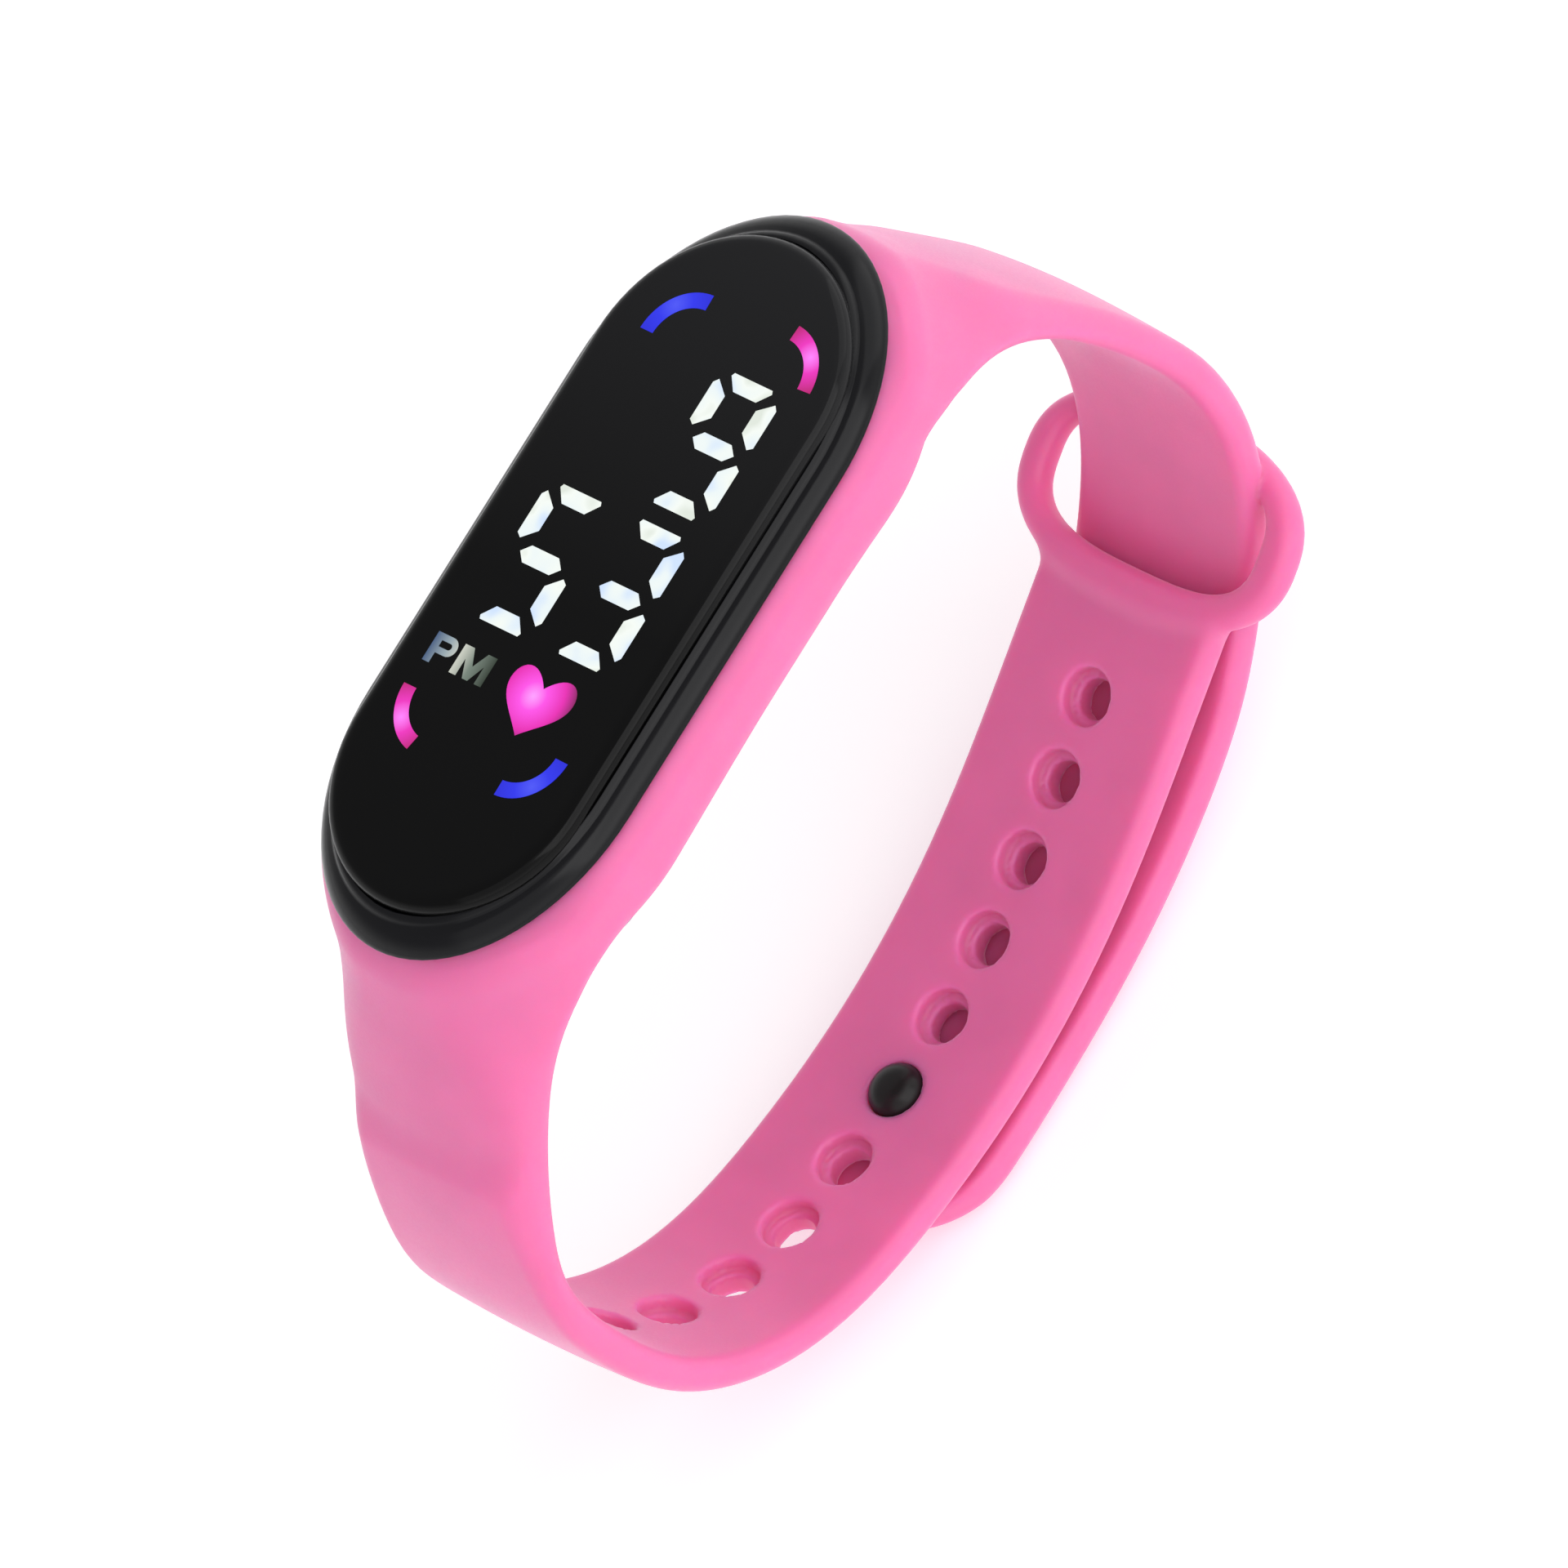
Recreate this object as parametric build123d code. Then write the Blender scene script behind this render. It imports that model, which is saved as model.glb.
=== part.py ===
"""Fitness tracker band: a silicone wrist strap, closed by a stud, that holds a sealed capsule with a lit display.

Units are millimetres. +Z points out of the display, +Y towards 12 o'clock, +X towards the display's right, which is
the wrist's axis. The origin is the centre of the capsule's back face, the face that rests on the wrist.
"""
import math
import os

from build123d import *

# ---- capsule ----
CAPSULE_LENGTH = 47.8
CAPSULE_WIDTH = 20.4
CAPSULE_HEIGHT = 10.0
BEZEL_BOTTOM = 7.6        # underside of the flange that rests on the strap's frame
BEZEL_TOP = 8.95          # rim round the window
BEZEL_WALL = 0.2          # upright edge of the flange, below its slope
BEZEL_LENGTH = 44.8       # the flange leans in to this length and width at its top
BEZEL_WIDTH = 18.4
PILL_CENTRE = 11.0        # frame and flange have straight sides this far up and down from their middle
LENS_LENGTH = 43.4
LENS_WIDTH = 17.5
LENS_CENTRE = 12.5        # the same, for the window
BODY_LENGTH = 44.2
BODY_WIDTH = 17.6         # body below the flange
CASE_WALL = 1.0
CASE_SPLIT = 1.6          # height where the two case halves meet
LENS_THICKNESS = 1.15
LENS_EDGE_RADIUS = 0.7
GASKET_THICKNESS = 0.15
OPENING_LENGTH = 41.4     # the case's front opening, below the window
OPENING_WIDTH = 15.2
MASK_BOTTOM = 8.0
MASK_TOP = 8.8
FILM_THICKNESS = 0.2
BOARD_BOTTOM = 5.7
BOARD_THICKNESS = 0.8
GAP = 0.05                # running gap between parts that only lie together

# ---- case screws, in bosses that join the upper case's round ends ----
SCREW_CIRCLE = 6.3
SCREW_OFFSET = SCREW_CIRCLE / math.sqrt(2)
SCREW_Y = (BODY_LENGTH - BODY_WIDTH) / 2 + SCREW_OFFSET
SCREW_PLACES = [(x, y) for x in (-SCREW_OFFSET, SCREW_OFFSET) for y in (-SCREW_Y, SCREW_Y)]
SCREW_RADIUS = 0.7
SCREW_HEAD_RADIUS = 1.2
SCREW_HEAD_HEIGHT = 0.6
BOSS_BOTTOM = 3.1

# ---- display marks ----
HOUR_PLACE = (3.15, 9.3)
MINUTE_PLACES = [(-2.97, -0.6), (3.15, -0.5)]
DIGIT_HALF_HEIGHT = 3.85   # from a digit's middle to the middle of its top bar
DIGIT_HALF_WIDTH = 1.85
SEGMENT_WIDTH = 1.1
SEGMENT_CLEARANCE = 0.7    # each bar is this much shorter than the side of the digit that it stands on
ARC_RADIUS = 2.9
ARC_WIDTH = 0.95
# Centre, middle angle and span of each arc.
BLUE_ARCS = [((-2.41, 13.6), 136, 88), ((3.03, -10.2), -45, 88)]
MAGENTA_ARCS = [((3.6, 14.15), 45, 84), ((-3.2, -10.1), 219, 78)]
HEART_CENTRE = (2.1, -7.75)
HEART_WIDTH = 4.87
HEART_HEIGHT = 4.0
PM_CORNER = (-6.4, -8.5)
PM_HEIGHT = 1.85
PM_BAR = 0.52

# ---- battery ----
CELL_RADIUS = 6.25
CELL_HEIGHT = 2.5
CELL_BOTTOM = 1.75

# ---- strap ----
FRAME_LENGTH = 48.6
FRAME_WIDTH = 22.0
FRAME_BOTTOM = 2.1
FRAME_TOP = 7.5
FRAME_RIM_RADIUS = 1.4     # upper outer edge
FRAME_BASE_RADIUS = 2.3    # lower outer edge
SEAT_GAP = 0.15           # between the capsule's body and the frame, all round
STRAP_WIDTH = 13.6
STRAP_THICKNESS = 2.25
HOLE_COUNT = 11
HOLE_PITCH = 4.9
HOLE_RADIUS = 1.2
HOLE_RIM_RADIUS = 1.7
HOLE_RIM_DEPTH = 0.9
STUD_HOLE = 5             # the hole that the stud is in, counted from the keeper ring
STUD_HOLE_RADIUS = 1.95   # this hole is held open by the stud
STUD_BULB_RADIUS = 1.6
STUD_NECK_RADIUS = 1.1
STUD_HEAD_RADIUS = 3.4
STUD_HEAD_HEIGHT = 1.1

# Inner surface of the 6 o'clock half, from under the frame round to the keeper ring, as (y, z).
HOLE_HALF = [
    (-15.0, 2.3), (-18.4, 1.9), (-21.1, 0.3), (-23.4, -1.9), (-25.8, -4.7), (-28.2, -7.7), (-30.4, -10.8),
    (-32.0, -13.9), (-32.5, -17.3), (-32.2, -21.5), (-30.8, -27.05), (-24.8, -33.8), (-15.7, -36.8), (-5.9, -37.5),
    (3.9, -36.2), (13.6, -33.3), (18.2, -31.75),
]
HOLE_HALF_FIRST_HOLE = (13.6, -33.3)
# Inner surface of the 12 o'clock half, from under the frame down to the bend of its tail.
STUD_HALF = [
    (14.5, 2.4), (18.2, 1.9), (21.2, 0.1), (23.7, -2.5), (25.9, -6.1), (27.8, -11.6), (28.9, -18.0), (28.3, -23.5),
    (25.7, -28.6), (21.0, -33.2), (17.3, -35.7), (12.9, -37.55), (9.2, -38.6),
]
# Outer surface of the two thick roots between frame and strap, from the frame's rim down, as (y, z).
SIX_ROOT = [(-24.2, 6.2), (-25.6, 3.9), (-27.7, 0.2), (-30.0, -3.6), (-32.0, -7.2), (-33.4, -10.8)]
TWELVE_ROOT = [(24.2, 6.2), (25.1, 3.8), (26.5, -0.2), (28.0, -4.5), (29.5, -9.0), (30.4, -12.4)]
# Half widths of frame, roots and strap in plan, as (x, |y|): the frame's end narrows smoothly to the strap.
PLAN = [(11.0, 12.0), (10.2, 17.6), (8.7, 21.5), (7.5, 24.6), (6.95, 27.6), (6.8, 31.0)]
ROOT_END = -13.0          # the strap has its plain width below this height
ROOT_INSET = 0.3          # the roots' slope starts this far inside the frame's outline
ROOT_SLOPE = 27.0         # how far the roots lean out from the frame's rim, in degrees
# Inner surface of the tail, from its bend to the stud and on to its tip.
TAIL_START = 8.9
TAIL_LOW = -40.3
TAIL = [(TAIL_START, -38.67), (5.0, -39.45), (0.0, -40.05), (-5.4, TAIL_LOW), (-10.7, TAIL_LOW), (-17.6, -39.8)]

# ---- keeper ring: an oval in a plane that carries on from the end of the 6 o'clock half ----
RING_START = (19.0, -32.0)
RING_TILT = 19.0
RING_HALF_WIDTH = 10.35
RING_LOW = -0.2
RING_HIGH = 11.6
RING_SIDE = 2.15          # width of the ring's rod at its sides
RING_BAR = 2.3            # and at the bar by the strap
RING_FAR = 2.0            # and at its far side
RING_THICKNESS = 2.0
RING_EDGE_RADIUS = 0.8
RING_OUTER_POWER = 2.4    # how square the oval is
RING_INNER_POWER = 3.0


def stadium(length, width):
    """A face with straight sides along Y and semicircular ends."""
    return Rot(0, 0, 90) * SlotOverall(length, width)


def pill(length, width, centre=PILL_CENTRE):
    """A face with straight sides along Y and elliptical ends."""
    end = Ellipse(width / 2, length / 2 - centre)
    return Rectangle(width, 2 * centre) + Pos(0, centre) * end + Pos(0, -centre) * end


def slab(face, low, high):
    """The face, drawn at z = 0, as a solid from one height to another."""
    return Pos(0, 0, low) * extrude(face, high - low)


def rounded_slab(outline, low, high, radius, edge):
    """A slab with one rim rounded: edge 0 is the lower rim and edge -1 the upper."""
    body = slab(outline, low, high)
    return fillet(body.faces().sort_by(Axis.Z)[edge].edges(), radius)


def node(name, *shapes):
    """Write the shapes as one named node."""
    solids = [solid for shape in shapes for solid in shape.solids()]
    whole = solids[0] if len(solids) == 1 else Compound(children=solids)
    whole.label = name
    export_step(whole, f"parts/{name}.step")


# ------------------------------------------------------------------ strap

def offset_points(curve, distance, count):
    """Points at an even distance to one side of a curve in the YZ plane."""
    points = []
    for index in range(count):
        share = index / (count - 1)
        here = curve.position_at(share)
        along = curve.tangent_at(share)
        points.append((here.X - along.Y * distance, here.Y + along.X * distance))
    return points


def band(points, side, width, outer_points=None):
    """A strip whose inner surface follows the points, as thick as the strap, and as wide as stated along X."""
    inner = Spline(*points)
    if outer_points is None:
        outer_points = offset_points(inner, side * STRAP_THICKNESS, 3 * len(points))
    outer = Spline(*outer_points)
    ends = [Line(inner @ 0, outer @ 0), Line(inner @ 1, outer @ 1)]
    face = make_face([inner, ends[1], outer, ends[0]])
    return extrude(Plane.YZ * face, width / 2, both=True)


def strap_space():
    """The space that frame, roots and strap may fill: narrowing in plan and sloping out from the frame's rim."""
    quarter = Spline(*PLAN, (STRAP_WIDTH / 2, 40.0))
    inner_x = (quarter @ 0).X
    edges = [quarter, Polyline(quarter @ 1, (0, 40.0), (0, 0), (inner_x, 0), quarter @ 0)]
    plan = make_face(edges)
    plan += mirror(plan, Plane.YZ)
    plan += mirror(plan, Plane.XZ)
    growth = 2 * (FRAME_TOP - ROOT_END) * math.tan(math.radians(ROOT_SLOPE))
    rim = pill(FRAME_LENGTH - 2 * ROOT_INSET, FRAME_WIDTH - 2 * ROOT_INSET)
    foot = pill(FRAME_LENGTH - 2 * ROOT_INSET + growth, FRAME_WIDTH - 2 * ROOT_INSET + growth)
    slope = loft([Pos(0, 0, ROOT_END) * foot, Pos(0, 0, FRAME_TOP) * rim], ruled=True)
    upper = slab(plan, ROOT_END, FRAME_TOP) & slope
    return upper + slab(Rectangle(STRAP_WIDTH, 90.0), ROOT_END - 60.0, ROOT_END)


def root(outer, inner):
    """The thick root between the frame and one half of the strap, drawn into the frame and into the strap."""
    side = math.copysign(1, outer[0][0])
    curve = Spline(*outer)
    middle = STRAP_THICKNESS / 3
    inside = [(side * 16.0, FRAME_TOP)] + [
        (y + side * middle, z + 0.3) for y, z in inner[:-1] if z > outer[-1][1]]
    edges = [curve, Polyline(outer[0], *inside, outer[-1])]
    return extrude(Plane.YZ * make_face(edges), FRAME_WIDTH / 2, both=True)


def frame():
    """The rounded rim that the capsule's body sits in."""
    body = rounded_slab(pill(FRAME_LENGTH, FRAME_WIDTH), FRAME_BOTTOM, FRAME_TOP, FRAME_BASE_RADIUS, 0)
    return fillet(body.faces().sort_by(Axis.Z)[-1].edges(), FRAME_RIM_RADIUS)


def superellipse(half_width, low, high, power):
    """A closed oval, squarer than an ellipse, with its width along X."""
    middle = (low + high) / 2
    half = (high - low) / 2
    points = []
    for step in range(24):
        angle = math.radians(15 * step)
        x = half_width * math.copysign(abs(math.cos(angle)) ** (2 / power), math.cos(angle))
        y = middle + half * math.copysign(abs(math.sin(angle)) ** (2 / power), math.sin(angle))
        points.append((x, y))
    return make_face(Spline(*points, periodic=True))


def ring_plane():
    """The keeper ring's plane, with its own x along X and its own y along the strap."""
    tilt = math.radians(RING_TILT)
    return Plane(origin=(0, *RING_START), x_dir=(1, 0, 0), z_dir=(0, -math.sin(tilt), math.cos(tilt)))


def keeper_ring():
    outer = superellipse(RING_HALF_WIDTH, RING_LOW, RING_HIGH, RING_OUTER_POWER)
    inner = superellipse(
        RING_HALF_WIDTH - RING_SIDE, RING_LOW + RING_BAR, RING_HIGH - RING_FAR, RING_INNER_POWER)
    rod = extrude(outer, RING_THICKNESS / 2, both=True) - extrude(inner, RING_THICKNESS, both=True)
    rims = rod.edges().filter_by(lambda edge: abs(edge.center().Z) > 0.4 * RING_THICKNESS)
    return ring_plane() * fillet(rims, RING_EDGE_RADIUS)


def hole_places():
    """Each adjustment hole's centre on the inner surface, and the direction out through the strap."""
    curve = Spline(*HOLE_HALF)
    start = min(
        (share / 400 for share in range(401)),
        key=lambda share: (curve @ share - Vector(*HOLE_HALF_FIRST_HOLE)).length,
    )
    places = []
    for index in range(HOLE_COUNT):
        share = start - index * HOLE_PITCH / curve.length
        here = curve @ share
        along = curve % share
        places.append((Vector(0, here.X, here.Y), Vector(0, along.Y, -along.X)))
    return places


def through(place, direction, radius, start, end):
    """A round pin of space or material through the strap at one hole."""
    plane = Plane(origin=place + direction * start, z_dir=direction)
    return extrude(plane * Circle(radius), end - start)


def strap():
    halves = band(HOLE_HALF, -1, FRAME_WIDTH) + band(STUD_HALF, 1, FRAME_WIDTH)
    halves += root(SIX_ROOT, HOLE_HALF) + root(TWELVE_ROOT, STUD_HALF)
    whole = (halves & strap_space()) + frame() + keeper_ring()
    seat = slab(stadium(BODY_LENGTH + 2 * SEAT_GAP, BODY_WIDTH + 2 * SEAT_GAP), -6.0, FRAME_TOP + 1.0)
    whole -= seat
    for index, (place, out) in enumerate(hole_places()):
        if index == STUD_HOLE:
            whole -= through(place, out, STUD_HOLE_RADIUS, -2.0, 4.0)
        else:
            whole -= through(place, out, HOLE_RADIUS, -2.0, 4.0)
            whole -= through(place, out, HOLE_RIM_RADIUS, -1.0, HOLE_RIM_DEPTH)
    return whole


def stud_axis():
    """The stud hole's centre on the strap's inner surface, and the direction out through strap and tail."""
    return hole_places()[STUD_HOLE]


def strap_tail():
    place, out = stud_axis()
    strip = band(TAIL, 1, STRAP_WIDTH)
    tip_centre = place.Y
    end = Pos(0, tip_centre, 0) * Circle(STRAP_WIDTH / 2)
    straight = Pos(0, (tip_centre + 12.0) / 2, 0) * Rectangle(STRAP_WIDTH, 12.0 - tip_centre)
    outline = extrude(end + straight, 80.0, both=True)
    tail = strip & outline
    tail -= through(place, out, STUD_NECK_RADIUS + 0.02, 0.0, 8.0)
    tail -= through(place, out, STUD_HEAD_RADIUS + 0.05, stud_levels()[1], 8.0)
    return tail


def stud_levels():
    """Depths below the strap's inner surface: the neck's start under the bulb, and the seat of the outer head."""
    place, out = stud_axis()
    tail_outer = abs(TAIL_LOW - STRAP_THICKNESS - place.Z)
    return 0.9, tail_outer - 0.5


def stud_pin():
    """Neck and bulb. The bulb is a short barrel with rounded rims that ends just inside the strap."""
    place, out = stud_axis()
    neck_start, head_seat = stud_levels()
    bulb = through(place, out, STUD_BULB_RADIUS, -0.75, neck_start)
    bulb = fillet(bulb.edges().filter_by(GeomType.CIRCLE).sort_by(Axis.Z)[-1], 0.9)
    return bulb + through(place, out, STUD_NECK_RADIUS, neck_start - 0.1, head_seat)


def stud_head():
    place, out = stud_axis()
    seat = stud_levels()[1]
    disc = through(place, out, STUD_HEAD_RADIUS, seat, seat + STUD_HEAD_HEIGHT)
    return fillet(disc.edges().filter_by(GeomType.CIRCLE).sort_by(Axis.Z)[0], 0.4)


# ------------------------------------------------------------------ capsule case

def front_lens():
    outline = pill(LENS_LENGTH, LENS_WIDTH, LENS_CENTRE)
    return rounded_slab(outline, CAPSULE_HEIGHT - LENS_THICKNESS, CAPSULE_HEIGHT, LENS_EDGE_RADIUS, -1)


def lens_gasket():
    top = CAPSULE_HEIGHT - LENS_THICKNESS
    ring = pill(LENS_LENGTH - 0.4, LENS_WIDTH - 0.4, LENS_CENTRE)
    hole = stadium(OPENING_LENGTH, OPENING_WIDTH)
    return slab(ring - hole, top - GASKET_THICKNESS, top)


def upper_case():
    """Sloping flange with a step for the window, over a skirt that goes down into the strap's frame."""
    outline = pill(CAPSULE_LENGTH, CAPSULE_WIDTH)
    shoulder = BEZEL_BOTTOM + BEZEL_WALL
    flange = slab(outline, BEZEL_BOTTOM, shoulder)
    rim = pill(BEZEL_LENGTH, BEZEL_WIDTH)
    flange += loft([Pos(0, 0, shoulder) * outline, Pos(0, 0, BEZEL_TOP) * rim], ruled=True)
    shell = flange + slab(stadium(BODY_LENGTH, BODY_WIDTH), CASE_SPLIT, BEZEL_BOTTOM + 0.2)
    window_seat = CAPSULE_HEIGHT - LENS_THICKNESS - GASKET_THICKNESS
    recess = pill(LENS_LENGTH + 2 * GAP, LENS_WIDTH + 2 * GAP, LENS_CENTRE)
    shell -= slab(recess, window_seat, CAPSULE_HEIGHT + 1.0)
    opening = stadium(OPENING_LENGTH, OPENING_WIDTH)
    shell -= slab(opening, MASK_BOTTOM - 1.0, CAPSULE_HEIGHT)
    cavity = stadium(BODY_LENGTH - 2 * CASE_WALL, BODY_WIDTH - 2 * CASE_WALL)
    shell -= slab(cavity, CASE_SPLIT - 1.0, BEZEL_BOTTOM - 0.3)
    for x, y in SCREW_PLACES:
        shell += Pos(x, y, 0) * slab(Circle(1.6), BOSS_BOTTOM, BOARD_BOTTOM - GAP) & slab(
            stadium(BODY_LENGTH - 0.4, BODY_WIDTH - 0.4), 0.0, CAPSULE_HEIGHT)
    for x, y in SCREW_PLACES:
        shell -= Pos(x, y, 0) * slab(Circle(SCREW_RADIUS + 0.02), 0.0, BOARD_BOTTOM)
    return shell


def rear_cover():
    """Shallow dish with a rounded skin-side rim, a spigot inside the upper case and four screw recesses."""
    dish = rounded_slab(stadium(BODY_LENGTH, BODY_WIDTH), 0.0, CASE_SPLIT - GAP, 1.4, 0)
    spigot_length = BODY_LENGTH - 2 * CASE_WALL - 0.1
    spigot_width = BODY_WIDTH - 2 * CASE_WALL - 0.1
    top = BOSS_BOTTOM - GAP
    spigot = slab(stadium(spigot_length, spigot_width), 0.8, top)
    dish += spigot
    dish -= slab(stadium(spigot_length - 1.6, spigot_width - 1.6), 1.0, 6.0)
    for x, y in SCREW_PLACES:
        dish += Pos(x, y, 0) * slab(Circle(1.6), 0.9, top) & spigot
    for x, y in SCREW_PLACES:
        dish -= Pos(x, y, 0) * slab(Circle(SCREW_RADIUS + 0.1), -1.0, 6.0)
        dish -= Pos(x, y, 0) * slab(Circle(SCREW_HEAD_RADIUS + 0.1), -1.0, SCREW_HEAD_HEIGHT + 0.1)
    groove = stadium(spigot_length + 0.2, spigot_width + 0.2) - stadium(spigot_length - 0.8, spigot_width - 0.8)
    return dish - slab(groove, CASE_SPLIT + 0.1, CASE_SPLIT + 0.8)


def case_seal():
    """Silicone ring in the spigot's groove."""
    length = BODY_LENGTH - 2 * CASE_WALL - 0.1
    width = BODY_WIDTH - 2 * CASE_WALL - 0.1
    ring = stadium(length, width) - stadium(length - 0.7, width - 0.7)
    return slab(ring, CASE_SPLIT + 0.15, CASE_SPLIT + 0.75)


def rear_screws():
    """Four screws from the back into the upper case's bosses."""
    screws = []
    for x, y in SCREW_PLACES:
        head = slab(Circle(SCREW_HEAD_RADIUS), 0.05, SCREW_HEAD_HEIGHT)
        slot = slab(Rectangle(1.5, 0.3) + Rectangle(0.3, 1.5), 0.0, 0.3)
        shank = slab(Circle(SCREW_RADIUS), SCREW_HEAD_HEIGHT - 0.1, 5.4)
        screws.append(Pos(x, y, 0) * (head + shank - slot))
    return screws


# ------------------------------------------------------------------ display

def segment(x, y, length, upright):
    """One bar of a digit, pointed at both ends."""
    half = length / 2
    point = SEGMENT_WIDTH / 2
    bar = make_face(Polyline(
        (-half, 0), (point - half, point), (half - point, point), (half, 0), (half - point, -point),
        (point - half, -point), close=True))
    return Pos(x, y, 0) * (Rot(0, 0, 90) * bar if upright else bar)


def digit(x, y, lit):
    """The lit bars of one seven-bar digit, named a to g as usual."""
    across = 2 * DIGIT_HALF_WIDTH - SEGMENT_CLEARANCE
    upright = DIGIT_HALF_HEIGHT - SEGMENT_CLEARANCE
    w, h = DIGIT_HALF_WIDTH, DIGIT_HALF_HEIGHT
    places = {
        "a": (0, h, across, False), "g": (0, 0, across, False), "d": (0, -h, across, False),
        "f": (-w, h / 2, upright, True), "b": (w, h / 2, upright, True),
        "e": (-w, -h / 2, upright, True), "c": (w, -h / 2, upright, True),
    }
    return [segment(x + places[k][0], y + places[k][1], *places[k][2:]) for k in lit]


def arc_mark(centre, middle_angle, span):
    """One short arc of a circle, as wide as the mark."""
    low = math.radians(middle_angle - span / 2)
    high = math.radians(middle_angle + span / 2)
    wedge = make_face(Polyline(
        (0, 0), (12 * math.cos(low), 12 * math.sin(low)), (12 * math.cos(high), 12 * math.sin(high)), close=True))
    ring = Circle(ARC_RADIUS + ARC_WIDTH / 2) - Circle(ARC_RADIUS - ARC_WIDTH / 2)
    return Pos(*centre, 0) * (ring & wedge)


def heart():
    """A heart from the usual sine formula, as two mirrored halves that meet at the notch and at the tip."""
    half = []
    for step in range(13):
        t = math.pi * step / 12
        x = abs(math.sin(t)) ** 2.1
        y = (13 * math.cos(t) - 5 * math.cos(2 * t) - 2 * math.cos(3 * t) - math.cos(4 * t)) / 29
        half.append((x * HEART_WIDTH / 2, y * HEART_HEIGHT))
    right = Spline(*half)
    left = Spline(*[(-x, y) for x, y in half])
    return Pos(*HEART_CENTRE, 0) * make_face([right, left])


def letters_pm():
    """The two letters of the afternoon mark: a P from bars and one round bowl, and an M drawn as one outline."""
    h, bar = PM_HEIGHT, PM_BAR
    stroke = 0.75 * bar
    bowl_radius = 0.32 * h
    bowl_x, bowl_y = 1.2, h - bowl_radius
    bowl = Pos(bowl_x, bowl_y) * (Circle(bowl_radius) - Circle(bowl_radius - stroke))
    bowl &= Pos(bowl_x + 0.5, bowl_y) * Rectangle(1.0, h)
    links = [
        Pos((bar + bowl_x) / 2, y) * Rectangle(bowl_x - bar + 0.02, stroke)
        for y in (h - stroke / 2, h - 2 * bowl_radius + stroke / 2)
    ]
    p = Pos(bar / 2, h / 2) * Rectangle(bar, h) + bowl + links[0] + links[1]
    left, right = 2.1, 4.6
    middle = (left + right) / 2
    half = [(left, 0), (left + bar, 0), (left + bar, 0.6 * h), (middle - 0.2, 0)]
    top = [(left, h), (left + 1.35 * bar, h)]
    outline = half + [(2 * middle - x, y) for x, y in half[::-1]]
    outline += [(2 * middle - x, y) for x, y in top] + [(middle, 0.45 * h)] + top[::-1]
    m = make_face(Polyline(*outline, close=True))
    corner = Pos(*PM_CORNER, 0)
    return [corner * p, corner * m]


MARKS = {
    "hour_digit": digit(*HOUR_PLACE, "abcdfg"),
    "minute_digits": digit(*MINUTE_PLACES[0], "acdfg") + digit(*MINUTE_PLACES[1], "abcdg"),
    "pm_icon": letters_pm(),
    "heart_icon": [heart()],
    "blue_arcs": [arc_mark(*arc) for arc in BLUE_ARCS],
    "magenta_arcs": [arc_mark(*arc) for arc in MAGENTA_ARCS],
}
PANEL_LENGTH = OPENING_LENGTH - 0.2
PANEL_WIDTH = OPENING_WIDTH - 0.2


def display_mask():
    mask = slab(stadium(PANEL_LENGTH, PANEL_WIDTH), MASK_BOTTOM, MASK_TOP)
    for faces in MARKS.values():
        for face in faces:
            mask -= slab(face, MASK_BOTTOM - 1.0, MASK_TOP + 1.0)
    return mask


def light_guides(faces):
    return [slab(face, MASK_BOTTOM, MASK_TOP) for face in faces]


def diffuser_film():
    top = MASK_BOTTOM - 0.02
    return slab(stadium(PANEL_LENGTH, PANEL_WIDTH), top - FILM_THICKNESS, top)


BOARD_TOP = BOARD_BOTTOM + BOARD_THICKNESS
BOARD_SCREW_PLACES = [(0.0, -18.6), (0.0, 18.6)]
TOUCH_Y = -14.9


def main_board():
    board = slab(stadium(BODY_LENGTH - 2 * CASE_WALL - 0.6, BODY_WIDTH - 2 * CASE_WALL - 0.6), BOARD_BOTTOM, BOARD_TOP)
    for x, y in BOARD_SCREW_PLACES:
        board -= Pos(x, y, 0) * slab(Circle(0.65), 0.0, 10.0)
    return board


def led_chips():
    """One small chip below each lit mark."""
    chips = []
    for faces in MARKS.values():
        for face in faces:
            centre = face.center()
            chips.append(Pos(centre.X, centre.Y, 0) * slab(Rectangle(1.0, 0.6), BOARD_TOP, BOARD_TOP + 0.5))
    return chips


def chip(x, y, width, length, height):
    """A flat package on the board's underside."""
    return Pos(x, y, 0) * slab(Rectangle(width, length), BOARD_BOTTOM - height, BOARD_BOTTOM)


def touch_spring():
    """Small coil spring pressed between the board and the film, under the window's touch area."""
    wire = 0.15
    low = BOARD_TOP + wire
    high = MASK_BOTTOM - FILM_THICKNESS - GAP - wire
    coil = Helix(pitch=0.45, height=high - low, radius=1.35)
    start = Plane(origin=coil @ 0, z_dir=coil % 0)
    return Pos(0, TOUCH_Y, low) * sweep(start * Circle(wire), path=coil)


def board_screws():
    screws = []
    for x, y in BOARD_SCREW_PLACES:
        head = slab(Circle(1.0), BOARD_TOP, BOARD_TOP + 0.4)
        screws.append(Pos(x, y, 0) * (head + slab(Circle(0.55), 3.6, BOARD_TOP + 0.1)))
    return screws


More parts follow.
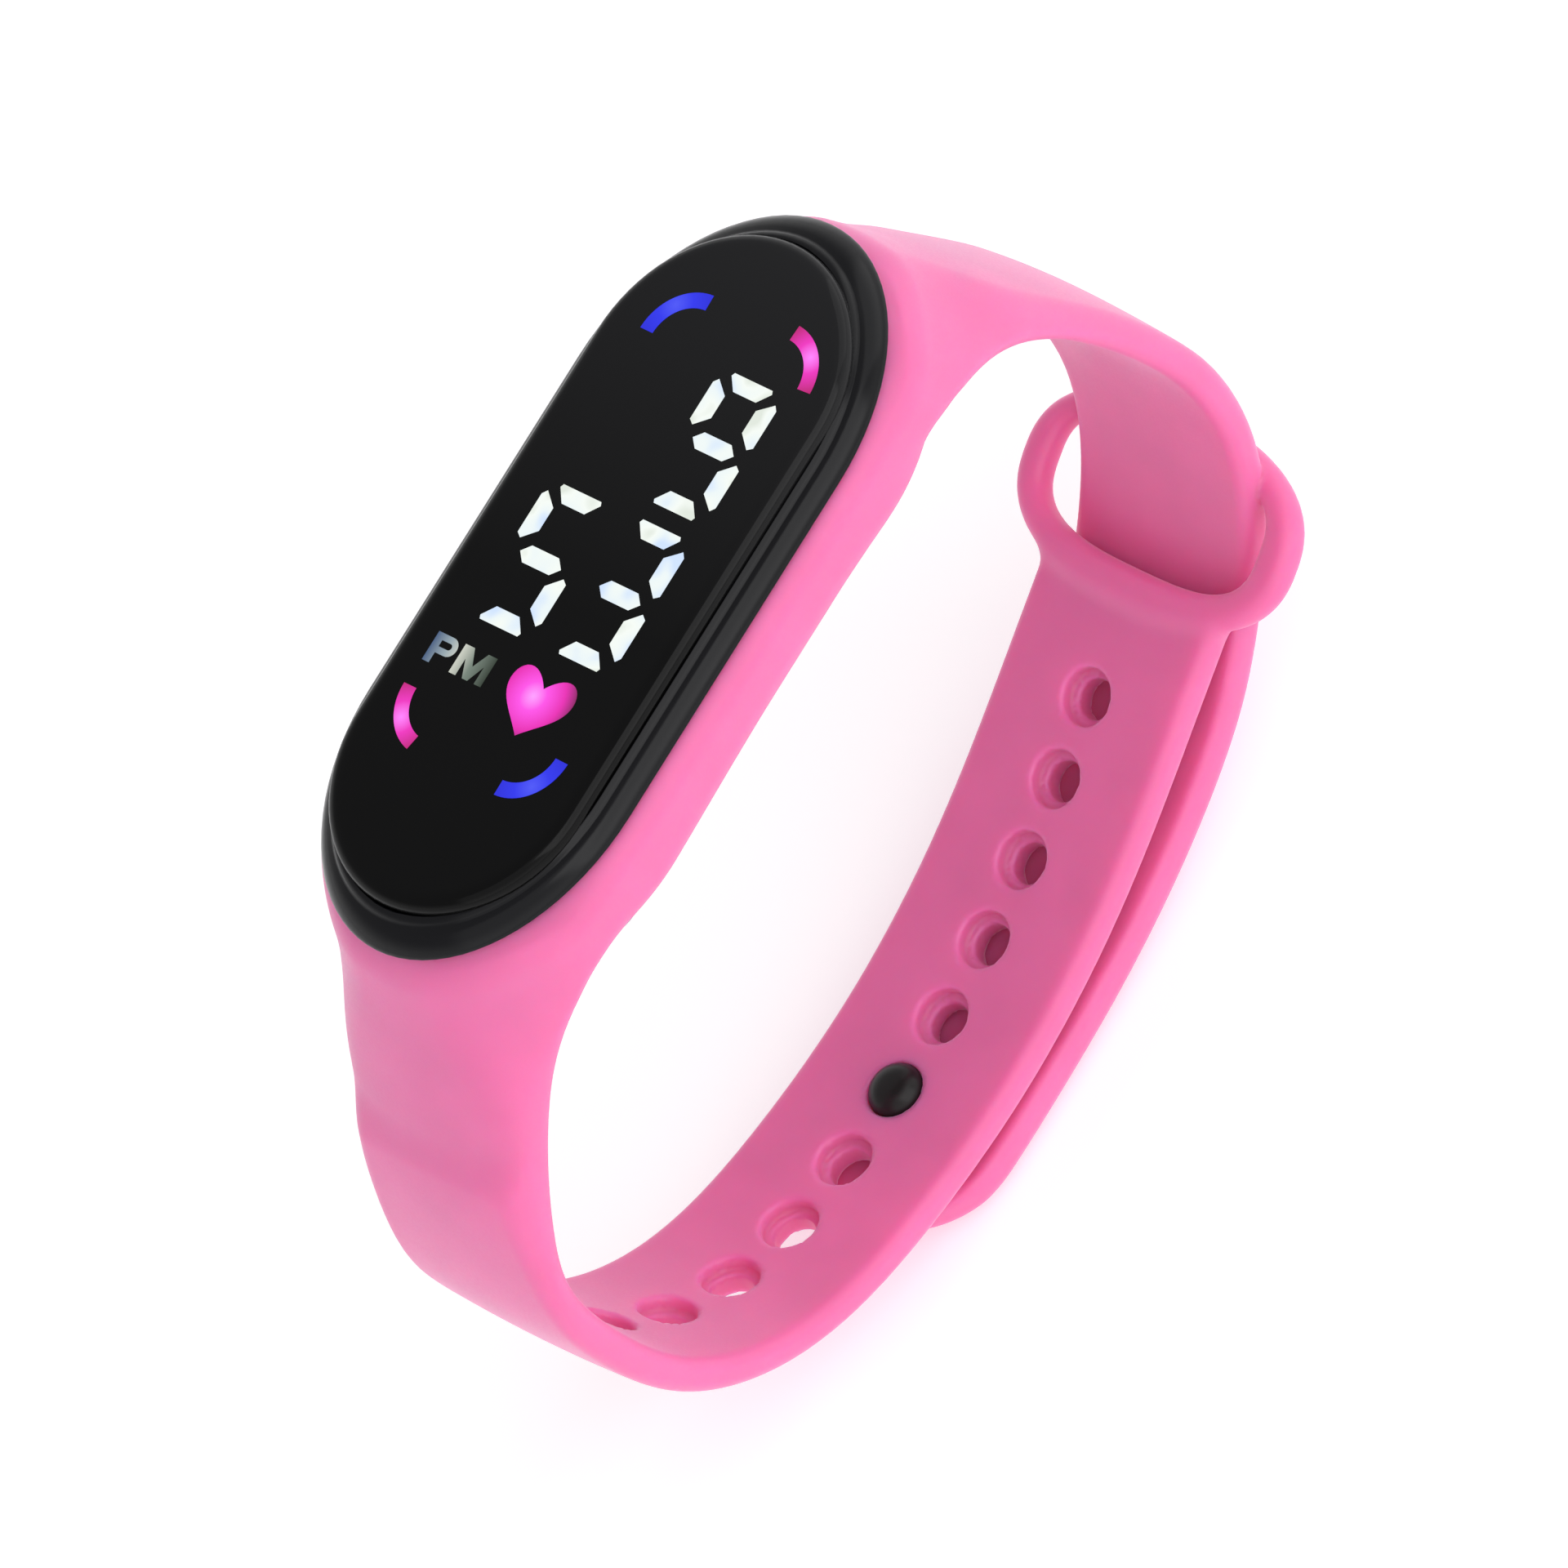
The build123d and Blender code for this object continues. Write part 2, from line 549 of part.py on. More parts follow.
def battery_holder():
    """Cradle round the coin cell, with two lugs that the board's screws bite into."""
    low = CELL_BOTTOM - 0.35
    high = BOARD_BOTTOM - 0.75
    ring = Circle(CELL_RADIUS + 0.6) - Circle(CELL_RADIUS + 0.1)
    cradle = slab(ring, low, high) + slab(Circle(CELL_RADIUS + 0.3), low, low + 0.25)
    for side in (-1, 1):
        rail = Pos(0, side * 12.9) * Rectangle(2.6, 12.6)
        cradle += slab(rail, high - 1.6, high)
        cradle += Pos(0, side * 18.6, 0) * slab(Circle(1.25), high - 1.6, BOARD_BOTTOM - GAP)
        cradle -= Pos(0, side * 18.6, 0) * slab(Circle(0.57), 0.0, 10.0)
    return cradle


def coin_cell():
    cell = slab(Circle(CELL_RADIUS), CELL_BOTTOM, CELL_BOTTOM + CELL_HEIGHT)
    cell = fillet(cell.edges().sort_by(Axis.Z)[-1], 0.3)
    return cell


def positive_clip():
    """Leaf over the cell's can, with a foot on the board."""
    top = CELL_BOTTOM + CELL_HEIGHT + 0.02
    leaf = slab(Pos(-1.5, 0) * Rectangle(7.0, 2.2), top, top + 0.2)
    foot = slab(Pos(-4.5, 0) * Rectangle(0.8, 2.2), top + 0.1, BOARD_BOTTOM)
    return leaf + foot


def negative_contact():
    """Thin spring plate under the cell."""
    low = CELL_BOTTOM - 0.1
    return slab(Pos(0, 0) * Rectangle(6.0, 2.4), low, CELL_BOTTOM)


os.makedirs("parts", exist_ok=True)
node("strap", strap())
node("strap_tail", strap_tail())
node("stud_pin", stud_pin())
node("stud_head", stud_head())
node("front_lens", front_lens())
node("lens_gasket", lens_gasket())
node("upper_case", upper_case())
node("rear_cover", rear_cover())
node("case_seal", case_seal())
node("rear_screws", *rear_screws())
node("display_mask", display_mask())
for mark_name, mark_faces in MARKS.items():
    node(mark_name, *light_guides(mark_faces))
node("diffuser_film", diffuser_film())
node("main_board", main_board())
node("led_chips", *led_chips())
node("controller_chip", chip(2.2, 12.2, 4.0, 4.0, 0.7))
node("quartz_crystal", chip(-3.0, 12.0, 1.5, 3.2, 0.6))
node("motion_sensor", chip(2.4, -11.6, 2.0, 2.0, 0.65))
node("touch_spring", touch_spring())
node("board_screws", *board_screws())
node("battery_holder", battery_holder())
node("coin_cell", coin_cell())
node("positive_clip", positive_clip())
node("negative_contact", negative_contact())
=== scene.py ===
"""Looks of the fitness tracker band: silicone strap, glossy capsule with a lit display, and a pale studio.

Lengths are millimetres wherever a name doesn't say otherwise, and MM turns them into the frame's metres.
"""
import itertools
import math

import bmesh
import bpy
import numpy as np
from mathutils import Matrix, Vector


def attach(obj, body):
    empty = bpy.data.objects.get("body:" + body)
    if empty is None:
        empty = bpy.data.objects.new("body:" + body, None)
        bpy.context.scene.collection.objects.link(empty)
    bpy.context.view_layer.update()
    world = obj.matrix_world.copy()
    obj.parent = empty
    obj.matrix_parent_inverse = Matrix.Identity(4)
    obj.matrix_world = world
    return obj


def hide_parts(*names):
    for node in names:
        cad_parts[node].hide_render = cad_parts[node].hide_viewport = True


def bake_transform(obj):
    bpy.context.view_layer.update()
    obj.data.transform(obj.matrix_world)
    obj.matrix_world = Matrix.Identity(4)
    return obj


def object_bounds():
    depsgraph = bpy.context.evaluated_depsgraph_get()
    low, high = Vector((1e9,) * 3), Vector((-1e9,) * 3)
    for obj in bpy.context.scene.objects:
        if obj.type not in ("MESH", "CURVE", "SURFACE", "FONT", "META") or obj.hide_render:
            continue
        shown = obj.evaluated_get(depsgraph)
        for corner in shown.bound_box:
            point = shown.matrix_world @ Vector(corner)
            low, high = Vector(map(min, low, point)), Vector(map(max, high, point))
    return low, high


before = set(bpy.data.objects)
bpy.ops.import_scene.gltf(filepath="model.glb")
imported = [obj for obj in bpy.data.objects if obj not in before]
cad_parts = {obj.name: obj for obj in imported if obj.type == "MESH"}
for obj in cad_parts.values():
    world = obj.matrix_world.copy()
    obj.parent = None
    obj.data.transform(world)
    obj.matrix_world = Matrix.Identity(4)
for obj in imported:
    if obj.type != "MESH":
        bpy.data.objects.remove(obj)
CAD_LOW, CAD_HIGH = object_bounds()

MM = 0.001


# ------------------------------------------------------------------ camera, light and floor

VIEW_BACK = Vector((0.624, -0.136, 0.770))      # from the object to the camera
VIEW_UP = Vector((-0.340, 0.839, 0.424))
VIEW_TARGET = Vector((11.79, -4.15, -0.29)) * MM
VIEW_WIDTH = 86.54 * MM                         # what the picture spans at the target
VIEW_DISTANCE = 3.8                             # metres: a long lens from far away


def make_camera():
    camera = bpy.data.objects.new("camera", bpy.data.cameras.new("camera"))
    bpy.context.scene.collection.objects.link(camera)
    camera.data.sensor_width = 36.0
    camera.data.lens = camera.data.sensor_width * VIEW_DISTANCE / VIEW_WIDTH
    camera.data.clip_start = 0.1
    camera.data.clip_end = 20.0
    back = VIEW_BACK.normalized()
    right = VIEW_UP.cross(back).normalized()
    up = back.cross(right)
    camera.matrix_world = Matrix.Translation(VIEW_TARGET + back * VIEW_DISTANCE) @ Matrix(
        (right, up, back)).transposed().to_4x4()
    bpy.context.scene.camera = camera


def make_light(name, place, size, power):
    """A square soft box that faces the object. Place and size are in metres."""
    light = bpy.data.lights.new(name, "AREA")
    light.size = size
    light.energy = power
    lamp = bpy.data.objects.new(name, light)
    bpy.context.scene.collection.objects.link(lamp)
    lamp.location = place
    lamp.rotation_euler = (-Vector(place)).to_track_quat("-Z", "Y").to_euler()


ROOM_RAMP = ((0.15, (1.0, 1.0, 1.0, 1.0)), (0.55, (0.45, 0.45, 0.46, 1.0)))     # by height of the direction
ROOM_STRENGTH = 1.08
# Place and size in metres, and power in watts.
LAMPS = {
    "key": ((0.55, -0.55, 0.63), 1.2, 2.0),
    "back": ((0.15, 0.85, 0.5), 0.9, 2.0),
    "side": ((0.8, 0.15, 0.58), 1.0, 5.0),
}
FLOOR_HALF = 6.0                                # metres
FLOOR_DROP = 0.0001                             # metres from the object's lowest point down to the floor


def make_world():
    """An even pale room that is a little darker overhead."""
    world = bpy.data.worlds.new("studio")
    bpy.context.scene.world = world
    world.use_nodes = True
    nodes, links = world.node_tree.nodes, world.node_tree.links
    coordinates = nodes.new("ShaderNodeTexCoord")
    split = nodes.new("ShaderNodeSeparateXYZ")
    ramp = nodes.new("ShaderNodeValToRGB")
    for element, (position, colour) in zip(ramp.color_ramp.elements, ROOM_RAMP):
        element.position = position
        element.color = colour
    links.new(coordinates.outputs["Generated"], split.inputs[0])
    links.new(split.outputs["Z"], ramp.inputs["Fac"])
    links.new(ramp.outputs["Color"], nodes["Background"].inputs["Color"])
    nodes["Background"].inputs["Strength"].default_value = ROOM_STRENGTH


def make_floor():
    """A plain white floor with a little light of its own, which keeps it pale beside the strap."""
    half = FLOOR_HALF
    height = CAD_LOW.z - FLOOR_DROP
    corners = [(-half, -half, height), (half, -half, height), (half, half, height), (-half, half, height)]
    mesh = bpy.data.meshes.new("floor")
    mesh.from_pydata(corners, [], [(0, 1, 2, 3)])
    floor = bpy.data.objects.new("floor", mesh)
    bpy.context.scene.collection.objects.link(floor)
    material = bpy.data.materials.new("studio_floor")
    material.use_nodes = True
    shader = material.node_tree.nodes["Principled BSDF"]
    shader.inputs["Base Color"].default_value = (0.93, 0.93, 0.93, 1.0)
    shader.inputs["Roughness"].default_value = 0.9
    shader.inputs["Specular IOR Level"].default_value = 0.1
    shader.inputs["Emission Color"].default_value = (1.0, 1.0, 1.0, 1.0)
    shader.inputs["Emission Strength"].default_value = 0.3
    mesh.materials.append(material)


# ------------------------------------------------------------------ meshing a field

MESH_PITCH = 0.27           # grid step of the silicone's meshes
LARGEST_MOVE = 0.15         # a point moves at most this far in one round of settling
LEAST_SLOPE = 0.2           # squared slope below which a field's step is held back


def surface(field, low, high, pitch):
    """The surface where the field is zero, as points and four-sided faces, by surface nets on a grid."""
    axes = [np.arange(start, end + pitch, pitch, dtype=np.float32) for start, end in zip(low, high)]
    values = field(*np.meshgrid(*axes, indexing="ij", sparse=True)).astype(np.float32)
    inside = values < 0
    cells = np.array(values.shape) - 1
    count = np.zeros(cells, np.int8)
    for i, j, k in itertools.product((0, 1), repeat=3):
        count += inside[i:i + cells[0], j:j + cells[1], k:k + cells[2]]
    crossed = (count > 0) & (count < 8)
    corner = np.argwhere(crossed)
    number = np.full(crossed.shape, -1, np.int32)
    number[crossed] = np.arange(len(corner))
    total = np.zeros((len(corner), 3))
    hits = np.zeros(len(corner))
    for axis in range(3):
        step = np.eye(3, dtype=int)[axis]
        for a, b in itertools.product((0, 1), repeat=2):
            start = corner + np.insert([a, b], axis, 0)
            near = values[tuple(start.T)]
            far = values[tuple((start + step).T)]
            hit = (near < 0) != (far < 0)
            share = near[hit] / (near[hit] - far[hit])
            total[hit] += start[hit] + share[:, None] * step
            hits[hit] += 1
    points = np.array([axis[0] for axis in axes]) + total / hits[:, None] * pitch
    faces = []
    for axis in range(3):
        step = np.eye(3, dtype=int)[axis]
        one, two = np.eye(3, dtype=int)[[(axis + 1) % 3, (axis + 2) % 3]]
        ends = [slice(None, -1) if axis == other else slice(1, -1) for other in range(3)]
        ahead = [slice(1, None) if axis == other else slice(1, -1) for other in range(3)]
        leaving = inside[tuple(ends)] & ~inside[tuple(ahead)]
        entering = ~inside[tuple(ends)] & inside[tuple(ahead)]
        for mask, turn in ((leaving, 1), (entering, -1)):
            at = np.argwhere(mask) + (1 - step)
            around = [at - one - two, at - two, at, at - one][::turn]
            faces.append(np.stack([number[tuple(place.T)] for place in around], axis=1))
    return points, np.concatenate(faces)


def settle(points, field, rounds=3, reach=0.02):
    """The points moved along the field's slope onto the surface."""
    for _ in range(rounds):
        value = field(*points.T)
        slope = np.stack([
            field(*(points + offset).T) - field(*(points - offset).T)
            for offset in np.eye(3) * reach], axis=1)
        slope /= 2 * reach
        move = value / np.maximum((slope ** 2).sum(1), LEAST_SLOPE)
        points = points - np.clip(move, -LARGEST_MOVE, LARGEST_MOVE)[:, None] * slope
    return points


def relax(points, faces, field, rounds=4):
    """The points evened out: each goes towards its neighbours' middle, and then back on the surface."""
    edges = np.concatenate([faces[:, [a, (a + 1) % 4]] for a in range(4)])
    edges = np.concatenate([edges, edges[:, ::-1]])
    near = np.bincount(edges[:, 0], minlength=len(points))[:, None]
    for _ in range(rounds):
        total = np.stack([
            np.bincount(edges[:, 0], weights=points[edges[:, 1], axis], minlength=len(points))
            for axis in range(3)], axis=1)
        points = settle(points + 0.5 * (total / near - points), field, rounds=1)
    return points


def mesh_object(name, points, faces):
    """A smooth-shaded mesh object from millimetre points."""
    mesh = bpy.data.meshes.new(name)
    mesh.from_pydata((np.asarray(points) * MM).tolist(), [], [list(face) for face in faces])
    mesh.polygons.foreach_set("use_smooth", [True] * len(mesh.polygons))
    mesh.update()
    made = bpy.data.objects.new(name, mesh)
    bpy.context.scene.collection.objects.link(made)
    return made


# ------------------------------------------------------------------ shapes as fields

def meet(a, b, radius):
    """Where both fields are inside, with the edge between them rounded."""
    sharp = np.minimum(np.maximum(a, b), -radius)
    return sharp + np.hypot(np.maximum(a + radius, 0), np.maximum(b + radius, 0))


def join(a, b, blend):
    """Where either field is inside, with a fillet of about the blend's width between them."""
    close = np.maximum(blend - np.abs(a - b), 0) / blend
    return np.minimum(a, b) - close * close * blend / 4


def ease(value, start, end):
    share = np.clip((value - start) / (end - start), 0, 1)
    return share * share * (3 - 2 * share)


def spline(points, step):
    """Evenly stepped points on the natural cubic spline through the given ones."""
    given = np.array(points, float)
    knots = np.concatenate([[0], np.cumsum(np.linalg.norm(np.diff(given, axis=0), axis=1))])
    gaps = np.diff(knots)
    matrix = np.eye(len(knots))
    slopes = np.zeros_like(given)
    for i in range(1, len(knots) - 1):
        matrix[i, i - 1:i + 2] = gaps[i - 1], 2 * (gaps[i - 1] + gaps[i]), gaps[i]
        slopes[i] = 6 * ((given[i + 1] - given[i]) / gaps[i] - (given[i] - given[i - 1]) / gaps[i - 1])
    bends = np.linalg.solve(matrix, slopes)
    fine = np.linspace(0, knots[-1], int(knots[-1] / step) + 1)
    i = np.clip(np.searchsorted(knots, fine) - 1, 0, len(gaps) - 1)
    gap = gaps[i][:, None]
    after = (fine - knots[i])[:, None] / gap
    before = 1 - after
    return (before * given[i] + after * given[i + 1]
            + ((before ** 3 - before) * bends[i] + (after ** 3 - after) * bends[i + 1]) * gap ** 2 / 6)


class Route:
    """A curve in the strap's side view.

    Each place has a depth, positive to the curve's right, and a distance along.
    """

    LOW = np.array([-38.0, -48.0])
    HIGH = np.array([38.0, 12.0])
    PITCH = 0.25

    def __init__(self, points):
        self.points = spline(points, 0.2)
        self.tangents = np.gradient(self.points, axis=0)
        self.tangents /= np.linalg.norm(self.tangents, axis=1)[:, None]
        self.lengths = np.concatenate([[0], np.cumsum(np.linalg.norm(np.diff(self.points, axis=0), axis=1))])
        ys, zs = (np.arange(low, high, self.PITCH) for low, high in zip(self.LOW, self.HIGH))
        grid = np.stack(np.meshgrid(ys, zs, indexing="ij"), axis=-1)
        nearest = np.concatenate([
            ((row[:, None, :] - self.points) ** 2).sum(-1).argmin(1)[None] for row in grid])
        offset = grid - self.points[nearest]
        tangent = self.tangents[nearest]
        self.depths = offset[..., 0] * tangent[..., 1] - offset[..., 1] * tangent[..., 0]
        self.alongs = self.lengths[nearest] + (offset * tangent).sum(-1)

    def look(self, table, y, z):
        """The table's value at a place, blended from the four grid values round it."""
        row = np.clip((y - self.LOW[0]) / self.PITCH, 0, table.shape[0] - 1.001)
        column = np.clip((z - self.LOW[1]) / self.PITCH, 0, table.shape[1] - 1.001)
        i, j = row.astype(int), column.astype(int)
        a, b = row - i, column - j
        return ((1 - a) * ((1 - b) * table[i, j] + b * table[i, j + 1])
                + a * ((1 - b) * table[i + 1, j] + b * table[i + 1, j + 1]))

    def depth(self, y, z):
        return self.look(self.depths, y, z)

    def along(self, y, z):
        return self.look(self.alongs, y, z)

    def beside(self, distance, start_z, every=18):
        """Points at that depth, one every few steps from the first place below start_z."""
        first = int(np.argmax(self.points[:, 1] < start_z))
        chosen = list(range(first, len(self.points), every))
        right = np.stack([self.tangents[:, 1], -self.tangents[:, 0]], axis=1)
        return (self.points[chosen] + right[chosen] * distance).tolist()

    def nearest_length(self, point):
        return self.lengths[((self.points - np.array(point)) ** 2).sum(1).argmin()]


# ------------------------------------------------------------------ the strap

PILL_CENTRE = 11.0                # frame and bezel have straight sides this far up and down from their middle
FRAME_LENGTH = 48.6
FRAME_WIDTH = 22.0
FRAME_BOTTOM = 2.1
FRAME_TOP = 7.5
FRAME_RIM_RADIUS = 1.5
FRAME_BASE_RADIUS = 2.3
SEAT_LENGTH = 44.5
SEAT_WIDTH = 17.9
SEAT_LOW = -6.0                   # the seat is cut down to here
STRAP_WIDTH = 13.6
STRAP_THICKNESS = 2.25
EDGE_RADIUS = 0.85
CROWN = 0.012                     # how fast the strap's outer surface falls away from its middle
ROOT_FIT = 0.6                    # rounding where the roots meet the slope from the frame's rim
HOLE_COUNT = 11
HOLE_PITCH = 4.9
HOLE_RADIUS = 1.2
HOLE_RIM_RADIUS = 1.7
HOLE_RIM_DEPTH = 0.9
STUD_HOLE = 5
STUD_HOLE_RADIUS = 1.7
FIRST_HOLE = (13.6, -33.3)

# Inner surface of each half from under the frame round, as (y, z). The stud half runs on as the tail.
HOLE_HALF = [
    (-15.0, 2.3), (-18.4, 1.9), (-21.1, 0.3), (-23.4, -1.9), (-25.8, -4.7), (-28.2, -7.7), (-30.4, -10.8),
    (-32.0, -13.9), (-32.5, -17.3), (-32.2, -21.5), (-30.8, -27.05), (-24.8, -33.8), (-15.7, -36.8),
    (-5.9, -37.5), (3.9, -36.2), (13.6, -33.3), (18.2, -31.75), (20.0, -31.15),
]
STUD_HALF = [
    (14.5, 2.4), (18.2, 1.9), (21.2, 0.1), (23.7, -2.5), (25.9, -6.1), (27.8, -11.6), (28.9, -18.0),
    (28.3, -23.5), (25.7, -28.6), (21.0, -33.2), (17.3, -35.7), (12.9, -37.55), (9.2, -38.6), (5.0, -39.45),
    (0.0, -40.05), (-5.4, -40.3), (-10.7, -40.3), (-19.6, -39.6),
]
# Outer surface of the thick roots between frame and strap.
SIX_ROOT = [
    (-23.0, 9.5), (-23.9, FRAME_TOP), (-25.6, 3.9), (-27.7, 0.2), (-30.0, -3.6), (-32.0, -7.2),
    (-33.4, -10.8)]
TWELVE_ROOT = [
    (23.0, 9.5), (23.9, FRAME_TOP), (25.1, 3.8), (26.5, -0.2), (28.0, -4.5), (29.5, -9.0), (30.4, -12.4)]
SIX_ROOT_END = -13.5              # below these heights the strap has its plain thickness
TWELVE_ROOT_END = -15.0
# Half widths of frame, roots and strap by distance from the middle.
PLAN_Y = [0.0, 12.0, 17.6, 21.5, 24.6, 27.6, 31.0, 40.0]
PLAN_X = [11.0, 11.0, 10.2, 8.7, 7.5, 6.95, 6.8, 6.8]

RING_START = (19.0, -32.0)
RING_TILT = math.radians(19.0)
RING_HALF_WIDTH = 10.35
RING_LOW = -0.2
RING_HIGH = 11.6
RING_SIDE = 2.15
RING_BAR = 2.3
RING_FAR = 2.0
RING_THICKNESS = 2.0
RING_SHIFT = 0.18                 # the ring's opening is a little to one side
RING_OUTER_POWER = 2.4            # how square the oval is
RING_INNER_POWER = 3.0
RING_OUTER_ROUND = 0.95
RING_INNER_ROUND = 0.85
ROOT_SLOPE = math.radians(27.0)   # how far the roots lean out from the frame's rim

SEAM_POINT = (21.0, -33.2)        # where the tail's mesh takes over, behind the keeper's bar
SEAM_SPARE = 1.5                  # each mesh runs this far past the seam before it is cut
TAIL_TIP_RADIUS = STRAP_WIDTH / 2


def make_routes():
    hole_inner, stud_inner = Route(HOLE_HALF), Route(STUD_HALF)
    # Depth is positive to the right of travel: outward on the hole half, and inward on the stud half.
    hole_outer = Route(SIX_ROOT + hole_inner.beside(STRAP_THICKNESS, SIX_ROOT_END))
    stud_outer = Route(TWELVE_ROOT + stud_inner.beside(-STRAP_THICKNESS, TWELVE_ROOT_END))
    return hole_inner, hole_outer, stud_inner, stud_outer


HOLE_INNER, HOLE_OUTER, STUD_INNER, STUD_OUTER = make_routes()
plan_curve = spline(list(zip(PLAN_Y, PLAN_X)), 0.25)


def half_width(y, z):
    """The strap's plain width below the roots, and the plan's width above."""
    wide = np.interp(np.abs(y), plan_curve[:, 0], plan_curve[:, 1])
    return STRAP_WIDTH / 2 + (wide - STRAP_WIDTH / 2) * ease(z, -16.0, -9.0)


def band(x, y, z, inner, outer, side):
    """One half of the strap, between its inner and outer surface.

    Its edges grow rounder towards the frame. Side is the sign of outward depth.
    """
    across = np.abs(x) - half_width(y, z)
    rise = ease(z, -20.0, 2.0)
    upper = ease(z, -3.0, 5.0)
    crown = CROWN * x * x * (0.4 + rise + 0.5 * upper)
    out = side * outer.depth(y, z) + crown
    within = -side * inner.depth(y, z)
    under = ease(z, -1.0, 2.0) * (1 - ease(np.abs(y), 15.0, 18.5))
    half = np.maximum(
        meet(out, across, EDGE_RADIUS + 1.3 * rise + 2.9 * upper),
        meet(within, across, EDGE_RADIUS + 0.3 * rise + np.where(y > 0, 1.15, 0.45) * under))
    drop = FRAME_TOP - z
    cone = pill(x, y, FRAME_LENGTH, FRAME_WIDTH) * math.cos(ROOT_SLOPE) - drop * math.sin(ROOT_SLOPE)
    freed = 8.0 * ease(-z, 4.0, 16.0)
    return meet(half, cone - freed, ROOT_FIT)


def stadium(x, y, length, width):
    """Distance to an outline with straight sides and semicircular ends."""
    return np.hypot(x, np.maximum(np.abs(y) - (length - width) / 2, 0)) - width / 2


def pill(x, y, length, width):
    """Distance to an outline with straight sides and elliptical ends."""
    reach = length / 2 - PILL_CENTRE
    return superellipse(x, np.maximum(np.abs(y) - PILL_CENTRE, 0), width / 2, -reach, reach, 2.0)


def superellipse(u, v, half_width_, low, high, power):
    """Distance to an oval that is squarer than an ellipse, from its level and that level's slope."""
    middle, half = (low + high) / 2, (high - low) / 2
    a, b = np.abs(u) / half_width_ + 1e-6, np.abs(v - middle) / half + 1e-6
    level = (a ** power + b ** power) ** (1 / power)
    slope = np.hypot((a / level) ** (power - 1) / half_width_, (b / level) ** (power - 1) / half)
    return (level - 1) / slope


def keeper_ring(x, y, z):
    """The ring, in its own tilted plane: v runs along the strap and w through the ring's thickness."""
    v = (y - RING_START[0]) * math.cos(RING_TILT) + (z - RING_START[1]) * math.sin(RING_TILT)
    w = (z - RING_START[1]) * math.cos(RING_TILT) - (y - RING_START[0]) * math.sin(RING_TILT)
    outer = superellipse(x, v, RING_HALF_WIDTH, RING_LOW, RING_HIGH, RING_OUTER_POWER)
    inner = superellipse(
        x + RING_SHIFT, v, RING_HALF_WIDTH - RING_SIDE, RING_LOW + RING_BAR, RING_HIGH - RING_FAR,
        RING_INNER_POWER)
    level = np.abs(w) - RING_THICKNESS / 2
    return np.maximum(meet(outer, level, RING_OUTER_ROUND), meet(-inner, level, RING_INNER_ROUND))


def holes(x, y, z):
    """The row of counterbored adjustment holes. The one that holds the stud is plain and stretched tight."""
    depth = HOLE_INNER.depth(y, z)
    along = HOLE_INNER.nearest_length(FIRST_HOLE) - HOLE_INNER.along(y, z)
    index = np.clip(np.round(along / HOLE_PITCH), 0, HOLE_COUNT - 1)
    radial = np.hypot(x, along - index * HOLE_PITCH)
    plain = index == STUD_HOLE
    through = radial - np.where(plain, STUD_HOLE_RADIUS, HOLE_RADIUS)
    rim = np.maximum(radial - HOLE_RIM_RADIUS, np.where(plain, 5.0, depth - HOLE_RIM_DEPTH))
    hole = join(through, rim, 0.12)
    return np.maximum(hole, np.abs(depth - 0.5) - 2.4)


def carve(a, b, blend):
    """The first shape without the second, with a softened rim."""
    return -join(-a, b, blend)


def emerging(frame_, half, towards, z, blend):
    """The frame, with one half of the strap growing smoothly out of its side on the way to its end."""
    share = np.maximum(ease(towards, 12.0, 20.5), ease(-z, -1.0, 0.5))
    return frame_ + share * (join(frame_, half, blend) - frame_)


def strap_field(x, y, z):
    """Frame, roots, hole half and keeper ring, with the stud half as far as just past the seam."""
    rim = pill(x, y, FRAME_LENGTH, FRAME_WIDTH)
    rounding = FRAME_RIM_RADIUS + 0.9 * ease(np.abs(y), 12.0, 19.0)
    base = FRAME_BASE_RADIUS - 0.7 * ease(-y, 0.0, 15.0) - 0.6 * ease(y, 6.0, 15.0)
    frame_ = meet(meet(rim, FRAME_BOTTOM - z, base), z - FRAME_TOP, rounding)
    six = band(x, y, z, HOLE_INNER, HOLE_OUTER, 1)
    six = np.maximum(six, HOLE_INNER.along(y, z) - HOLE_INNER.lengths[-1])
    six = meet(np.maximum(six, np.where(z > 0, y, y - 24.0)), z - FRAME_TOP, rounding)
    six = carve(six, holes(x, y, z), 0.22)
    six = join(six, keeper_ring(x, y, z), 0.9)
    twelve = np.maximum(stud_half(x, y, z), STUD_INNER.along(y, z) - seam_length() - SEAM_SPARE)
    twelve = meet(np.maximum(twelve, np.where(z > 0, -y, -9.0)), z - FRAME_TOP, rounding)
    blend = 0.01 + (0.3 + 2.4 * ease(-z, -FRAME_TOP + 0.5, 1.0)) * ease(np.abs(y), 17.0, 22.0)
    whole = np.minimum(emerging(frame_, six, -y, z, blend), emerging(frame_, twelve, y, z, blend))
    seat = np.maximum(stadium(x, y, SEAT_LENGTH, SEAT_WIDTH), SEAT_LOW - z)
    return carve(whole, seat, 0.25)


def seam_length():
    """The seam's distance along the stud half."""
    return STUD_INNER.nearest_length(SEAM_POINT)


def stud_half(x, y, z):
    return band(x, y, z, STUD_INNER, STUD_OUTER, -1)


def stud_place():
    """The stud's place on the hole half's inner surface, and its direction outward."""
    length = HOLE_INNER.nearest_length(FIRST_HOLE) - STUD_HOLE * HOLE_PITCH
    index = int(np.abs(HOLE_INNER.lengths - length).argmin())
    along = HOLE_INNER.tangents[index]
    return HOLE_INNER.points[index], np.array([along[1], -along[0]])


